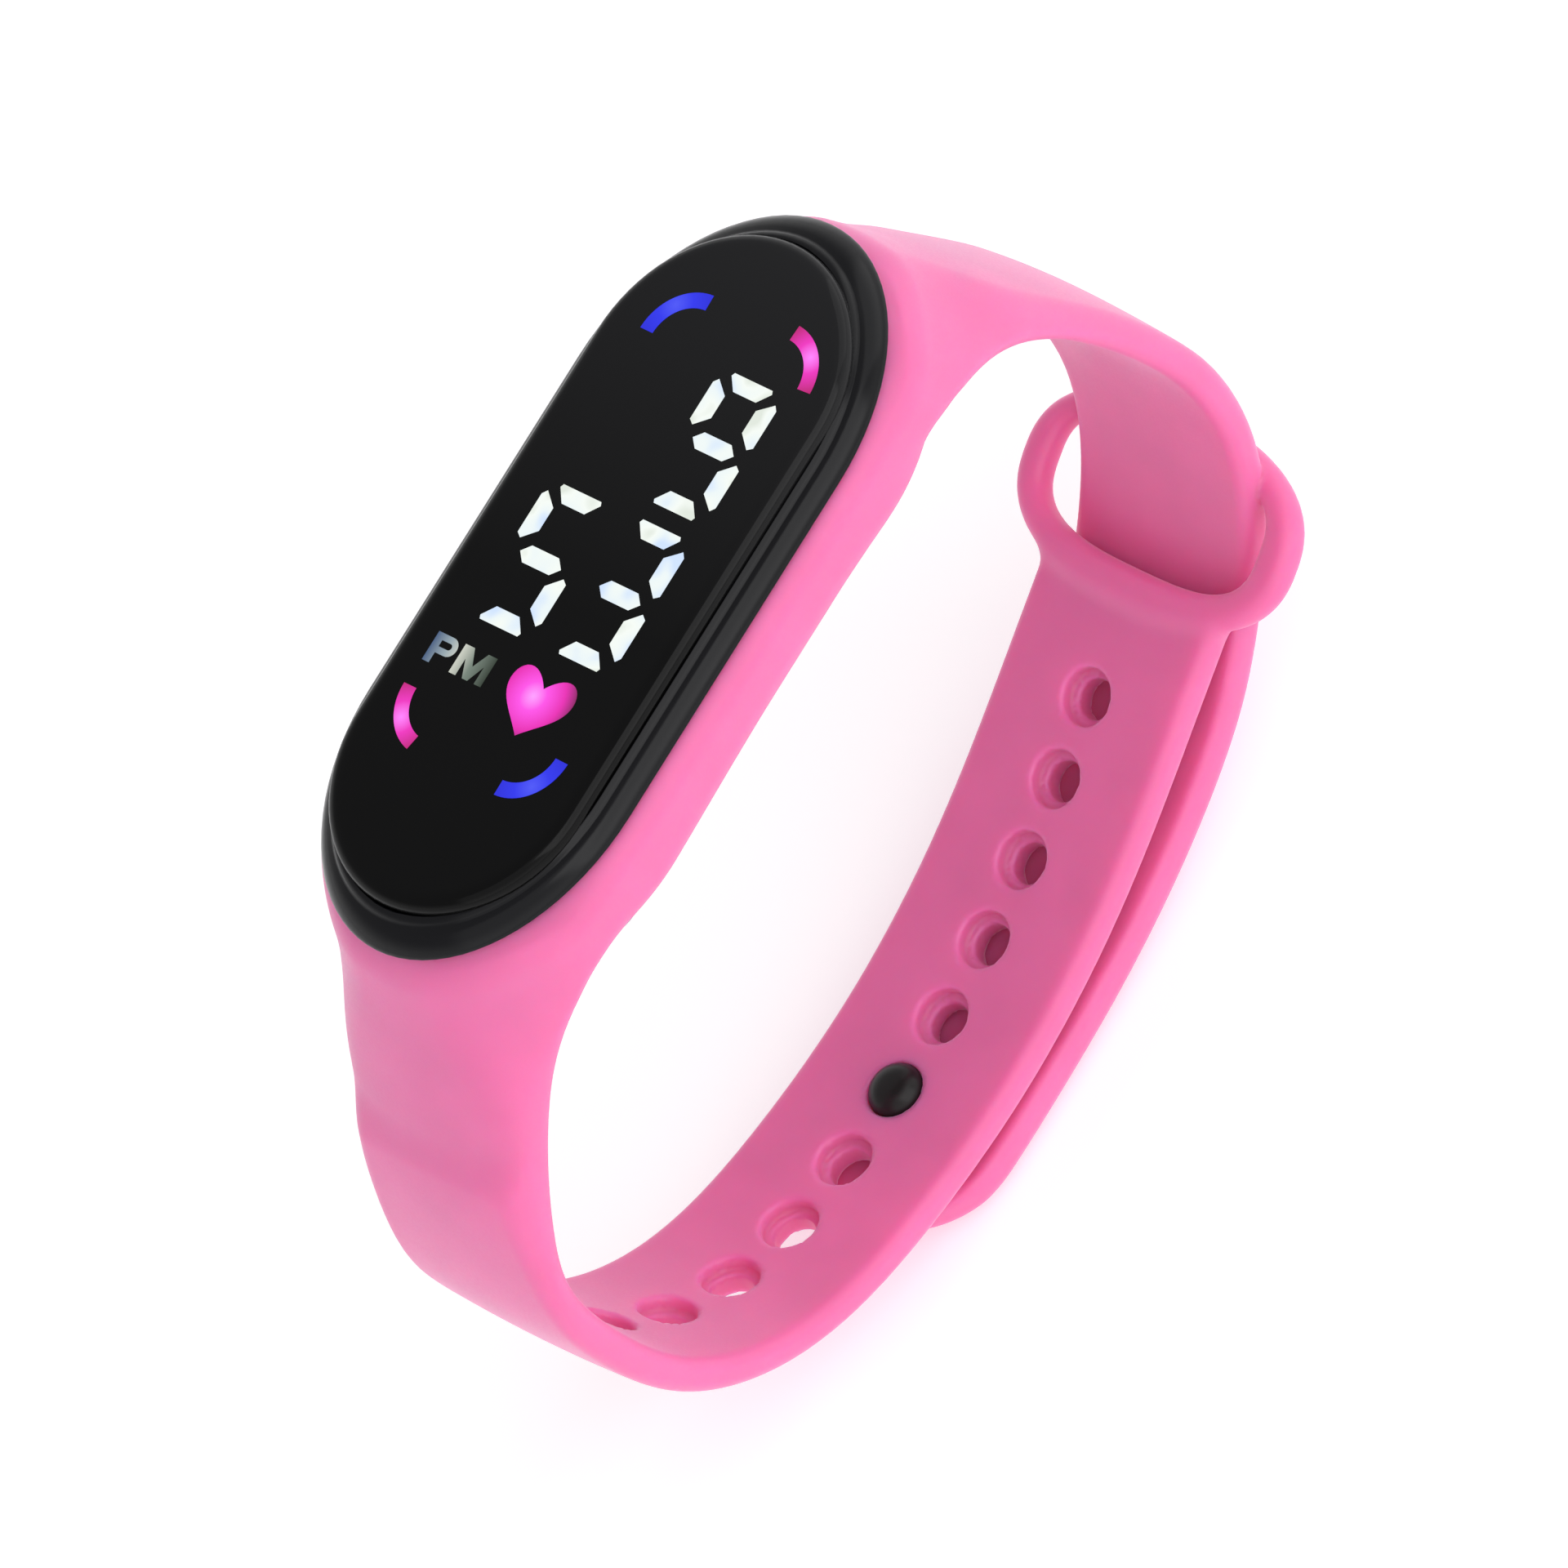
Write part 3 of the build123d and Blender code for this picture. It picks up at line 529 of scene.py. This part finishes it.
def tail_field(x, y, z):
    """The strap's end past the seam, with its round tip about the stud."""
    centre = stud_place()[0]
    strip = np.maximum(stud_half(x, y, z), seam_length() - SEAM_SPARE - STUD_INNER.along(y, z))
    tip = np.hypot(x, np.minimum(y - centre[0], 0)) - TAIL_TIP_RADIUS
    return meet(strip, tip, 0.6)


def cut_at_seam(piece, keep_start):
    """Cut the stud half square across at the seam and close it, so that strap and tail meet face to face."""
    index = int(np.abs(STUD_INNER.lengths - seam_length()).argmin())
    place = Vector((0, *STUD_INNER.points[index])) * MM
    normal = Vector((0, *STUD_INNER.tangents[index]))
    shell = bmesh.new()
    shell.from_mesh(piece.data)
    centres = np.array([face.calc_center_median() for face in shell.faces]) / MM
    depth = -STUD_INNER.depth(centres[:, 1], centres[:, 2])
    along = STUD_INNER.along(centres[:, 1], centres[:, 2]) - seam_length()
    near = (np.abs(along) < 3.0) & (depth > -0.4) & (depth < STRAP_THICKNESS + 0.4) & (
        np.abs(centres[:, 0]) < STRAP_WIDTH / 2 + 0.2)
    shell.faces.ensure_lookup_table()
    faces = [shell.faces[i] for i in np.flatnonzero(near)]
    geometry = faces + list({e for f in faces for e in f.edges}) + list({v for f in faces for v in f.verts})
    bmesh.ops.bisect_plane(
        shell, geom=geometry, dist=1e-7, plane_co=place, plane_no=normal, clear_outer=keep_start,
        clear_inner=not keep_start)
    rim = [edge for edge in shell.edges if edge.is_boundary]
    for edge in rim:
        edge.smooth = False
    bmesh.ops.holes_fill(shell, edges=rim, sides=0)
    bmesh.ops.recalc_face_normals(shell, faces=shell.faces)
    shell.to_mesh(piece.data)
    shell.free()


def make_silicone(name, field, low, high, keep_start):
    points, faces = surface(field, low, high, MESH_PITCH)
    points = relax(settle(points, field), faces, field)
    piece = mesh_object(name, points, faces)
    cut_at_seam(piece, keep_start)
    return piece


# ------------------------------------------------------------------ the capsule

LENS_TOP = 10.0
# Half width, half length and height round the window's rim, from the edge of its flat face down to its foot.
LENS_RIM = [
    (7.55, 20.5, 10.0), (7.85, 20.8, 9.995), (8.12, 21.07, 9.965), (8.36, 21.31, 9.88), (8.55, 21.5, 9.73),
    (8.68, 21.63, 9.53), (8.75, 21.7, 9.3), (8.75, 21.7, 8.95), (8.69, 21.64, 8.88), (7.0, 20.0, 8.88),
]
# The same for the bezel: the land beside the window, a fine rib, a step, the round flange, and the skirt.
BEZEL_TOP = [
    (7.62, 20.9, 8.82), (8.72, 21.67, 8.82), (8.79, 21.74, 8.9), (8.8, 21.75, 9.06), (8.83, 21.8, 9.11),
    (8.88, 21.88, 9.12), (9.02, 22.1, 9.03), (9.12, 22.25, 8.91), (9.17, 22.33, 8.8), (9.24, 22.43, 8.76),
    (9.4, 22.68, 8.7), (9.62, 23.02, 8.55), (9.82, 23.33, 8.34), (9.99, 23.59, 8.1), (10.1, 23.76, 7.88),
    (10.17, 23.86, 7.74), (10.18, 23.88, 7.64), (10.08, 23.75, 7.58),
]
SKIRT = [
    (8.9, 22.2, 7.6), (8.82, 22.12, 7.55), (8.8, 22.1, 7.4), (8.8, 22.1, 1.75), (8.77, 22.07, 1.65),
    (8.68, 21.98, 1.62), (7.9, 21.2, 1.62), (7.8, 21.1, 1.68), (7.8, 21.1, 8.0), (7.62, 20.92, 8.05),
]
LENS_CENTRE = 12.5          # the window's straight sides end here, and the skirt's
SKIRT_CENTRE = 13.3


def capsule_ring(half, reach, height, centre, steps=40):
    """Points once round the capsule, with elliptical ends about two places up and down its length."""
    ring = []
    for end in (1, -1):
        for step in range(steps + 1):
            angle = math.pi * (step / steps + (0 if end > 0 else 1))
            ring.append((half * math.cos(angle), end * centre + (reach - centre) * math.sin(angle), height))
    return ring


def swept(name, profile, closed):
    """The profile carried round the capsule: closed on itself like a tube, or with its two ends capped."""
    rings = [capsule_ring(*place) for place in profile]
    count = len(rings[0])
    points = [place for ring in rings for place in ring]
    faces = []
    for row in range(len(rings) if closed else len(rings) - 1):
        below = (row + 1) % len(rings)
        for column in range(count):
            beside = (column + 1) % count
            faces.append((
                row * count + column, below * count + column, below * count + beside, row * count + beside))
    if not closed:
        faces.append(list(range(count)))
        faces.append(list(range((len(rings) - 1) * count, len(rings) * count))[::-1])
    piece = mesh_object(name, points, faces)
    piece.data.set_sharp_from_angle(angle=math.radians(38.0))
    return piece


def make_window():
    return swept("window", [(*place, LENS_CENTRE) for place in LENS_RIM], closed=False)


def make_bezel():
    top = [(*place, PILL_CENTRE) for place in BEZEL_TOP]
    return swept("bezel", top + [(*place, SKIRT_CENTRE) for place in SKIRT], closed=True)


# ------------------------------------------------------------------ the lit marks

MARK_RISE = 0.012           # the marks lie this far over the window, and go a little way down into it
MARK_SINK = 0.15
HOUR_PLACE = (3.15, 9.31)
MINUTE_PLACES = ((-2.97, -0.62), (3.15, -0.47))
HOUR_SCALE = 0.965          # the hour digit is a little lower
# One bar of each kind about a digit's middle, as (x, y).
TOP_BAR = [(-1.47, 4.42), (1.47, 4.42), (1.58, 4.2), (0.88, 3.38), (-0.88, 3.38), (-1.58, 4.2)]
MIDDLE_BAR = [(-1.6, 0.0), (-1.05, 0.55), (1.05, 0.55), (1.6, 0.0), (1.05, -0.55), (-1.05, -0.55)]
UPRIGHT_BAR = [(2.47, 3.42), (2.2, 3.72), (1.22, 2.95), (1.22, 1.45), (2.12, 0.66), (2.47, 0.9)]
LOWER_SHIFT = 0.25          # the lower upright bars stand this much closer to the middle bar
ARC_RADIUS = 2.9
ARC_WIDTH = 0.95
# Centre, middle angle and half of the span, in degrees.
BLUE_ARCS = (((-2.41, 13.6), 136.0, 44.0), ((3.03, -10.2), -45.0, 44.0))
MAGENTA_ARCS = (((3.6, 14.15), 45.0, 42.0), ((-3.2, -10.1), 219.0, 39.0))
HEART_CENTRE = (2.1, -7.75)
HEART_SIZE = (4.87, 4.0)
PM_CORNER = (-6.4, -8.5)
PM_HEIGHT = 1.85
PM_BAR = 0.52
P_BOWL = 1.2                # the P's bowl is centred this far along, and the M starts and ends there
M_START = 2.1
M_END = 4.6


def bar(name):
    """The outline of one bar of a seven-bar digit about its middle."""
    if name == "g":
        return MIDDLE_BAR
    if name in "ad":
        return TOP_BAR if name == "a" else [(x, -y) for x, y in TOP_BAR]
    side = -1 if name in "fe" else 1
    if name in "bf":
        return [(side * x, y) for x, y in UPRIGHT_BAR]
    return [(side * x, LOWER_SHIFT - y) for x, y in UPRIGHT_BAR]


def digit(place, lit, scale=1.0):
    return [[(px + place[0], scale * py + place[1]) for px, py in bar(name)] for name in lit]


def arc_mark(centre, middle, half_span, steps=20):
    angles = [math.radians(middle + half_span * (2 * step / steps - 1)) for step in range(steps + 1)]
    outer = [(ARC_RADIUS + ARC_WIDTH / 2, angle) for angle in angles]
    inner = [(ARC_RADIUS - ARC_WIDTH / 2, angle) for angle in angles[::-1]]
    return [(centre[0] + r * math.cos(angle), centre[1] + r * math.sin(angle)) for r, angle in outer + inner]


def arc_middle(centre, middle, _):
    """The place halfway along an arc."""
    angle = math.radians(middle)
    return centre[0] + ARC_RADIUS * math.cos(angle), centre[1] + ARC_RADIUS * math.sin(angle)


def heart_mark(steps=64):
    outline = []
    for step in range(steps):
        t = 2 * math.pi * step / steps
        x = math.copysign(abs(math.sin(t)) ** 2.1, math.sin(t))
        y = (13 * math.cos(t) - 5 * math.cos(2 * t) - 2 * math.cos(3 * t) - math.cos(4 * t)) / 29
        outline.append((HEART_CENTRE[0] + x * HEART_SIZE[0] / 2, HEART_CENTRE[1] + y * HEART_SIZE[1]))
    return outline


def letters_pm():
    """P as a stem and a round bowl beside it, and M as one outline."""
    x, y = PM_CORNER
    h, b = PM_HEIGHT, PM_BAR
    stem = [(0, 0), (b, 0), (b, h), (0, h)]
    radius = 0.32 * h
    small = radius - 0.75 * b
    angles = [math.pi / 2 - math.pi * step / 12 for step in range(13)]
    outer = [(b, h)] + [(P_BOWL + radius * math.cos(a), h - radius + radius * math.sin(a)) for a in angles]
    inner = [(P_BOWL + small * math.cos(a), h - radius + small * math.sin(a)) for a in angles[::-1]]
    bowl = outer + [(b, h - 2 * radius), (b, h - radius - small)] + inner + [(b, h - radius + small)]
    middle = (M_START + M_END) / 2
    left = [(M_START, 0), (M_START + b, 0), (M_START + b, 0.6 * h), (middle - 0.2, 0)]
    top = [(M_START, h), (M_START + 1.35 * b, h)]
    right = [(2 * middle - px, py) for px, py in left[::-1]]
    notch = (middle, 0.45 * h)
    m = left + right + [(2 * middle - px, py) for px, py in top] + [notch] + top[::-1]
    return [[(px + x, py + y) for px, py in shape] for shape in (stem, bowl, m)]


MARKS = {
    "hour_digit": ("light_white", digit(HOUR_PLACE, "abcdfg", HOUR_SCALE)),
    "minute_digits": ("light_white", digit(MINUTE_PLACES[0], "acdfg") + digit(MINUTE_PLACES[1], "abcdg")),
    "pm_icon": ("light_grey", letters_pm()),
    "heart_icon": ("light_heart", [heart_mark()]),
    "blue_arcs": ("light_blue", [arc_mark(*arc) for arc in BLUE_ARCS]),
    "magenta_arcs": ("light_magenta", [arc_mark(*arc) for arc in MAGENTA_ARCS]),
}


def inlay(name, outlines):
    """The outlines as thin plates, each let into the window's face."""
    points, faces = [], []
    for outline in outlines:
        area = sum(a[0] * b[1] - b[0] * a[1] for a, b in zip(outline, outline[1:] + outline[:1]))
        if area < 0:
            outline = outline[::-1]
        start, count = len(points), len(outline)
        for height in (LENS_TOP + MARK_RISE, LENS_TOP - MARK_SINK):
            points += [(x, y, height) for x, y in outline]
        faces.append([start + i for i in range(count)])
        faces.append([start + count + i for i in range(count)][::-1])
        for i in range(count):
            after = (i + 1) % count
            faces.append((start + i, start + count + i, start + count + after, start + after))
    piece = mesh_object(name, points, faces)
    piece.data.set_sharp_from_angle(angle=math.radians(30.0))
    return piece


# ------------------------------------------------------------------ the stud

# Radius and depth out from the strap's inner surface.
BULB_PROFILE = [
    (0.0, -0.82), (0.45, -0.8), (0.88, -0.7), (1.24, -0.5), (1.5, -0.24), (1.65, 0.05), (1.7, 0.35),
    (1.62, 0.7), (1.35, 0.95), (1.16, 1.1), (1.1, 1.3), (1.1, 4.6), (0.0, 4.6),
]
CAP_PROFILE = [
    (0.0, 4.62), (3.2, 4.62), (3.35, 4.68), (3.4, 4.82), (3.4, 5.25), (3.33, 5.42), (3.15, 5.54), (2.8, 5.6),
    (2.2, 5.64), (1.2, 5.67), (0.0, 5.68),
]


def turned(name, profile, steps=48):
    """The profile turned about the stud's axis."""
    place, outward = stud_place()
    across = np.array([-outward[1], outward[0]])
    points, faces = [], []
    rings = []
    for radius, depth in profile:
        start = len(points)
        for step in range(steps if radius > 0 else 1):
            angle = 2 * math.pi * step / steps
            y, z = place + outward * depth + across * radius * math.sin(angle)
            points.append((radius * math.cos(angle), y, z))
        rings.append((start, len(points) - start))
    for (one, count_one), (two, count_two) in zip(rings, rings[1:]):
        for step in range(steps):
            after = (step + 1) % steps
            if count_one == 1:
                faces.append((one, two + step, two + after))
            elif count_two == 1:
                faces.append((one + step, two, one + after))
            else:
                faces.append((one + step, two + step, two + after, one + after))
    piece = mesh_object(name, points, faces)
    shell = bmesh.new()
    shell.from_mesh(piece.data)
    bmesh.ops.recalc_face_normals(shell, faces=shell.faces)
    shell.to_mesh(piece.data)
    shell.free()
    piece.data.set_sharp_from_angle(angle=math.radians(50.0))
    return piece


# ------------------------------------------------------------------ materials

def blank(name, colour, rough, metal=0.0):
    """A material with one principled shader and its plain values."""
    material = bpy.data.materials.new(name)
    material.use_nodes = True
    shader = material.node_tree.nodes["Principled BSDF"]
    shader.inputs["Base Color"].default_value = (*colour, 1.0)
    shader.inputs["Roughness"].default_value = rough
    shader.inputs["Metallic"].default_value = metal
    return material, shader


def noise(material, size, detail=3.0):
    """A noise texture's output whose features are about that many millimetres across."""
    nodes, links = material.node_tree.nodes, material.node_tree.links
    coordinates = nodes.new("ShaderNodeTexCoord")
    texture = nodes.new("ShaderNodeTexNoise")
    texture.inputs["Scale"].default_value = 1.0 / (size * MM)
    texture.inputs["Detail"].default_value = detail
    links.new(coordinates.outputs["Object"], texture.inputs["Vector"])
    return texture.outputs["Fac"]


def ramp(material, value, stops):
    """The value turned into a colour, from stops of (position, colour)."""
    node = material.node_tree.nodes.new("ShaderNodeValToRGB")
    elements = node.color_ramp.elements
    while len(elements) < len(stops):
        elements.new(0.5)
    for element, (position, colour) in zip(elements, stops):
        element.position = position
        element.color = (*colour, 1.0)
    material.node_tree.links.new(value, node.inputs["Fac"])
    return node.outputs["Color"]


def spread(material, value, low, high):
    """The value, of which noise mostly fills 0.3 to 0.7, spread over another range."""
    node = material.node_tree.nodes.new("ShaderNodeMapRange")
    node.inputs["From Min"].default_value = 0.3
    node.inputs["From Max"].default_value = 0.7
    node.inputs["To Min"].default_value = low
    node.inputs["To Max"].default_value = high
    material.node_tree.links.new(value, node.inputs["Value"])
    return node.outputs["Result"]


def add_bump(material, shader, height, depth):
    """Relief of that many millimetres on the shader's normal."""
    node = material.node_tree.nodes.new("ShaderNodeBump")
    node.inputs["Distance"].default_value = depth * MM
    node.inputs["Strength"].default_value = 1.0
    material.node_tree.links.new(height, node.inputs["Height"])
    material.node_tree.links.new(node.outputs["Normal"], shader.inputs["Normal"])


def finish(name, colour, rough, metal=0.0, grain=0.3, relief=0.01, vary=0.08, patch=3.0):
    """A surface with grain of a size in millimetres, uneven gloss, and colour that varies in patches."""
    material, shader = blank(name, colour, rough, metal)
    links = material.node_tree.links
    fine = noise(material, grain)
    wide = noise(material, patch, detail=2.0)
    dark = tuple(max(c * (1 - vary), 0) for c in colour)
    light = tuple(min(c * (1 + vary), 1) for c in colour)
    links.new(ramp(material, wide, [(0.3, dark), (0.7, light)]), shader.inputs["Base Color"])
    links.new(spread(material, fine, rough * 0.85, min(rough * 1.15, 1.0)), shader.inputs["Roughness"])
    add_bump(material, shader, fine, relief)
    return material, shader


def silicone():
    """Soft matt silicone: light goes a little way in, edges catch a pale bloom, and the grain is fine."""
    material, shader = finish(
        "silicone", (0.75, 0.155, 0.375), 0.42, grain=0.16, relief=0.0035, vary=0.035, patch=5.0)
    shader.inputs["Subsurface Weight"].default_value = 0.8
    shader.inputs["Subsurface Radius"].default_value = (1.0, 0.2, 0.4)
    shader.inputs["Subsurface Scale"].default_value = 2.2 * MM
    shader.inputs["Specular IOR Level"].default_value = 0.4
    shader.inputs["Sheen Weight"].default_value = 0.35
    shader.inputs["Sheen Roughness"].default_value = 0.35
    shader.inputs["Sheen Tint"].default_value = (1.0, 0.72, 0.86, 1.0)
    return material


def gloss_black(name, colour, rough):
    """Polished black plastic with the faint unevenness of a moulding."""
    material, shader = finish(name, colour, rough, grain=6.0, relief=0.004, vary=0.15, patch=9.0)
    shader.inputs["Specular IOR Level"].default_value = 0.22
    return material


def window_glass():
    """Smoked window whose colour is a little greyer towards the 12 o'clock end: a painted reflection of the
    room.
    """
    material, shader = blank("window_glass", (0.012, 0.012, 0.013), 0.12)
    shader.inputs["Specular IOR Level"].default_value = 0.14
    nodes, links = material.node_tree.nodes, material.node_tree.links
    coordinates = nodes.new("ShaderNodeTexCoord")
    split = nodes.new("ShaderNodeSeparateXYZ")
    along = nodes.new("ShaderNodeMapRange")
    along.inputs["From Min"].default_value = -22.0 * MM
    along.inputs["From Max"].default_value = 22.0 * MM
    links.new(coordinates.outputs["Object"], split.inputs[0])
    links.new(split.outputs["Y"], along.inputs["Value"])
    # Painted reflection: the base colour grows lighter along the window towards the 12 o'clock end.
    links.new(ramp(material, along.outputs["Result"], [
        (0.0, (0.001, 0.001, 0.001)), (0.45, (0.002, 0.002, 0.002)), (1.0, (0.014, 0.014, 0.015))]),
        shader.inputs["Base Color"])
    fine = noise(material, 8.0, detail=2.0)
    links.new(spread(material, fine, 0.1, 0.16), shader.inputs["Roughness"])
    add_bump(material, shader, fine, 0.002)
    return material


def glow(name, value, reach, stops):
    """A lit mark under the window. Its colour follows the value, from one end of its reach to the other."""
    material, shader = blank(name, (0.01, 0.01, 0.01), 0.12)
    links = material.node_tree.links
    share = material.node_tree.nodes.new("ShaderNodeMapRange")
    share.inputs["From Min"].default_value, share.inputs["From Max"].default_value = reach
    links.new(value(material), share.inputs["Value"])
    links.new(ramp(material, share.outputs["Result"], stops), shader.inputs["Emission Color"])
    shader.inputs["Emission Strength"].default_value = 1.0
    add_bump(material, shader, noise(material, 8.0, detail=2.0), 0.002)
    return material


def away_from(x, y):
    """The distance in metres from a place on the window."""
    def value(material):
        nodes, links = material.node_tree.nodes, material.node_tree.links
        coordinates = nodes.new("ShaderNodeTexCoord")
        away = nodes.new("ShaderNodeVectorMath")
        away.operation = "DISTANCE"
        away.inputs[1].default_value = (x * MM, y * MM, LENS_TOP * MM)
        links.new(coordinates.outputs["Object"], away.inputs[0])
        return away.outputs["Value"]
    return value


def across_window(material):
    """The place across the window, in metres."""
    nodes, links = material.node_tree.nodes, material.node_tree.links
    coordinates = nodes.new("ShaderNodeTexCoord")
    split = nodes.new("ShaderNodeSeparateXYZ")
    links.new(coordinates.outputs["Object"], split.inputs[0])
    return split.outputs["X"]


def patches(material):
    """Soft cloudy patches, over the white digits."""
    return noise(material, 2.2, detail=1.0)


HEART_GLOW = (1.75, -7.65)  # the heart's brightest place
HEART_REACH = 2.95          # from there to its darkest
ARC_REACH = 2.2             # from an arc's middle to its darkest
WHITE_STOPS = [
    (0.0, (0.62, 0.76, 0.98)), (0.4, (0.83, 0.91, 0.92)), (0.75, (0.90, 0.95, 0.90)),
    (1.0, (0.74, 0.80, 0.72))]
BLUE_STOPS = [(0.0, (0.06, 0.08, 0.92)), (0.5, (0.012, 0.02, 0.84)), (1.0, (0.006, 0.01, 0.70))]
MAGENTA_STOPS = [(0.0, (1.0, 0.22, 1.0)), (0.45, (0.85, 0.02, 0.52)), (1.0, (0.50, 0.0, 0.16))]
HEART_STOPS = [
    (0.0, (1.0, 0.34, 1.0)), (0.3, (0.98, 0.07, 0.80)), (0.7, (0.80, 0.01, 0.45)), (1.0, (0.18, 0.0, 0.07))]
GREY_STOPS = [
    (0.0, (0.05, 0.10, 0.21)), (0.25, (0.30, 0.38, 0.42)), (0.45, (0.60, 0.62, 0.54)),
    (0.7, (0.17, 0.22, 0.18)), (1.0, (0.02, 0.035, 0.02))]


def mark_materials(name):
    """The materials of one piece's marks, one for each arc, as each is brightest at its own middle."""
    if name in ("hour_digit", "minute_digits"):
        return [glow("light_white", patches, (0.3, 0.7), WHITE_STOPS)]
    if name == "pm_icon":
        reach = (PM_CORNER[0] * MM, (PM_CORNER[0] + M_END) * MM)
        return [glow("light_grey", across_window, reach, GREY_STOPS)]
    if name == "heart_icon":
        return [glow("light_heart", away_from(*HEART_GLOW), (0.0, HEART_REACH * MM), HEART_STOPS)]
    colour, stops, arcs = (
        ("light_blue", BLUE_STOPS, BLUE_ARCS) if name == "blue_arcs"
        else ("light_magenta", MAGENTA_STOPS, MAGENTA_ARCS))
    return [
        glow(f"{colour}_{number}", away_from(*arc_middle(*arc)), (0.0, ARC_REACH * MM), stops)
        for number, arc in enumerate(arcs)]


# Colour, roughness, metal, grain in mm, relief in mm, for the CAD nodes that stay as they are.
CAD_FINISHES = {
    "lens_gasket": ((0.02, 0.02, 0.02), 0.5, 0.0, 0.2, 0.004),
    "rear_cover": ((0.014, 0.014, 0.015), 0.42, 0.0, 0.25, 0.012),
    "case_seal": ((0.16, 0.16, 0.17), 0.6, 0.0, 0.2, 0.006),
    "rear_screws": ((0.56, 0.56, 0.58), 0.3, 1.0, 0.15, 0.008),
    "display_mask": ((0.01, 0.01, 0.01), 0.5, 0.0, 0.3, 0.01),
    "diffuser_film": ((0.80, 0.80, 0.78), 0.55, 0.0, 0.2, 0.006),
    "main_board": ((0.012, 0.11, 0.05), 0.35, 0.0, 0.4, 0.008),
    "led_chips": ((0.80, 0.66, 0.12), 0.4, 0.0, 0.1, 0.004),
    "controller_chip": ((0.02, 0.02, 0.022), 0.5, 0.0, 0.12, 0.006),
    "quartz_crystal": ((0.68, 0.68, 0.70), 0.28, 1.0, 0.2, 0.006),
    "motion_sensor": ((0.025, 0.025, 0.027), 0.5, 0.0, 0.12, 0.006),
    "touch_spring": ((0.83, 0.62, 0.25), 0.3, 1.0, 0.1, 0.006),
    "board_screws": ((0.56, 0.56, 0.58), 0.32, 1.0, 0.15, 0.008),
    "battery_holder": ((0.72, 0.71, 0.68), 0.5, 0.0, 0.25, 0.012),
    "coin_cell": ((0.64, 0.64, 0.66), 0.26, 1.0, 0.12, 0.008),
    "positive_clip": ((0.70, 0.66, 0.58), 0.28, 1.0, 0.15, 0.006),
    "negative_contact": ((0.70, 0.66, 0.58), 0.28, 1.0, 0.15, 0.006),
}


def paint_cad_nodes():
    """A material with real detail on each CAD node that stays as it is."""
    for name, (colour, rough, metal, grain, relief) in CAD_FINISHES.items():
        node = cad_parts[name]
        material, _ = finish(f"{name}_finish", colour, rough, metal, grain=grain, relief=relief)
        if not node.material_slots:
            node.data.materials.append(material)
        for place in node.material_slots:
            place.material = material


def add_piece(piece, body, slot, node, *materials):
    """The piece takes a node's place on a body, with its materials. The slot is not used."""
    for material in materials:
        piece.data.materials.append(material)
    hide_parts(node)
    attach(piece, body)


def make_capsule():
    black = gloss_black("bezel_black", (0.003, 0.003, 0.004), 0.2)
    add_piece(make_bezel(), "capsule", "case_black", "upper_case", black)
    add_piece(make_window(), "capsule", "lens_smoked", "front_lens", window_glass())
    for name, (slot, outlines) in MARKS.items():
        piece = inlay(f"{name}_light", outlines)
        materials = mark_materials(name)
        add_piece(piece, "capsule", slot, name, *materials)
        if len(materials) > 1:
            first_is_up = MARKS[name][1][0][0][1] > 0
            for face in piece.data.polygons:
                face.material_index = int((face.center.y > 0) != first_is_up)


def make_stud():
    black = gloss_black("stud_black", (0.010, 0.009, 0.009), 0.3)
    add_piece(turned("stud_bulb", BULB_PROFILE), "tail", "stud_black", "stud_pin", black)
    add_piece(turned("stud_cap", CAP_PROFILE), "tail", "stud_black", "stud_head", black)


def main():
    bpy.context.scene.view_settings.view_transform = "Standard"
    make_camera()
    make_world()
    make_floor()
    for name, (place, size, power) in LAMPS.items():
        make_light(name, place, size, power)
    strap = make_silicone("strap_body", strap_field, (-11.6, -36.0, -40.5), (11.6, 33.5, 8.0), True)
    tail = make_silicone("strap_end", tail_field, (-7.4, -20.5, -43.5), (7.4, 24.5, -30.0), False)
    pink = silicone()
    for piece, body, node in ((strap, "band", "strap"), (tail, "tail", "strap_tail")):
        piece.data.materials.append(pink)
        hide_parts(node)
    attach(strap, "band")
    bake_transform(tail)
    make_capsule()
    make_stud()
    paint_cad_nodes()


main()
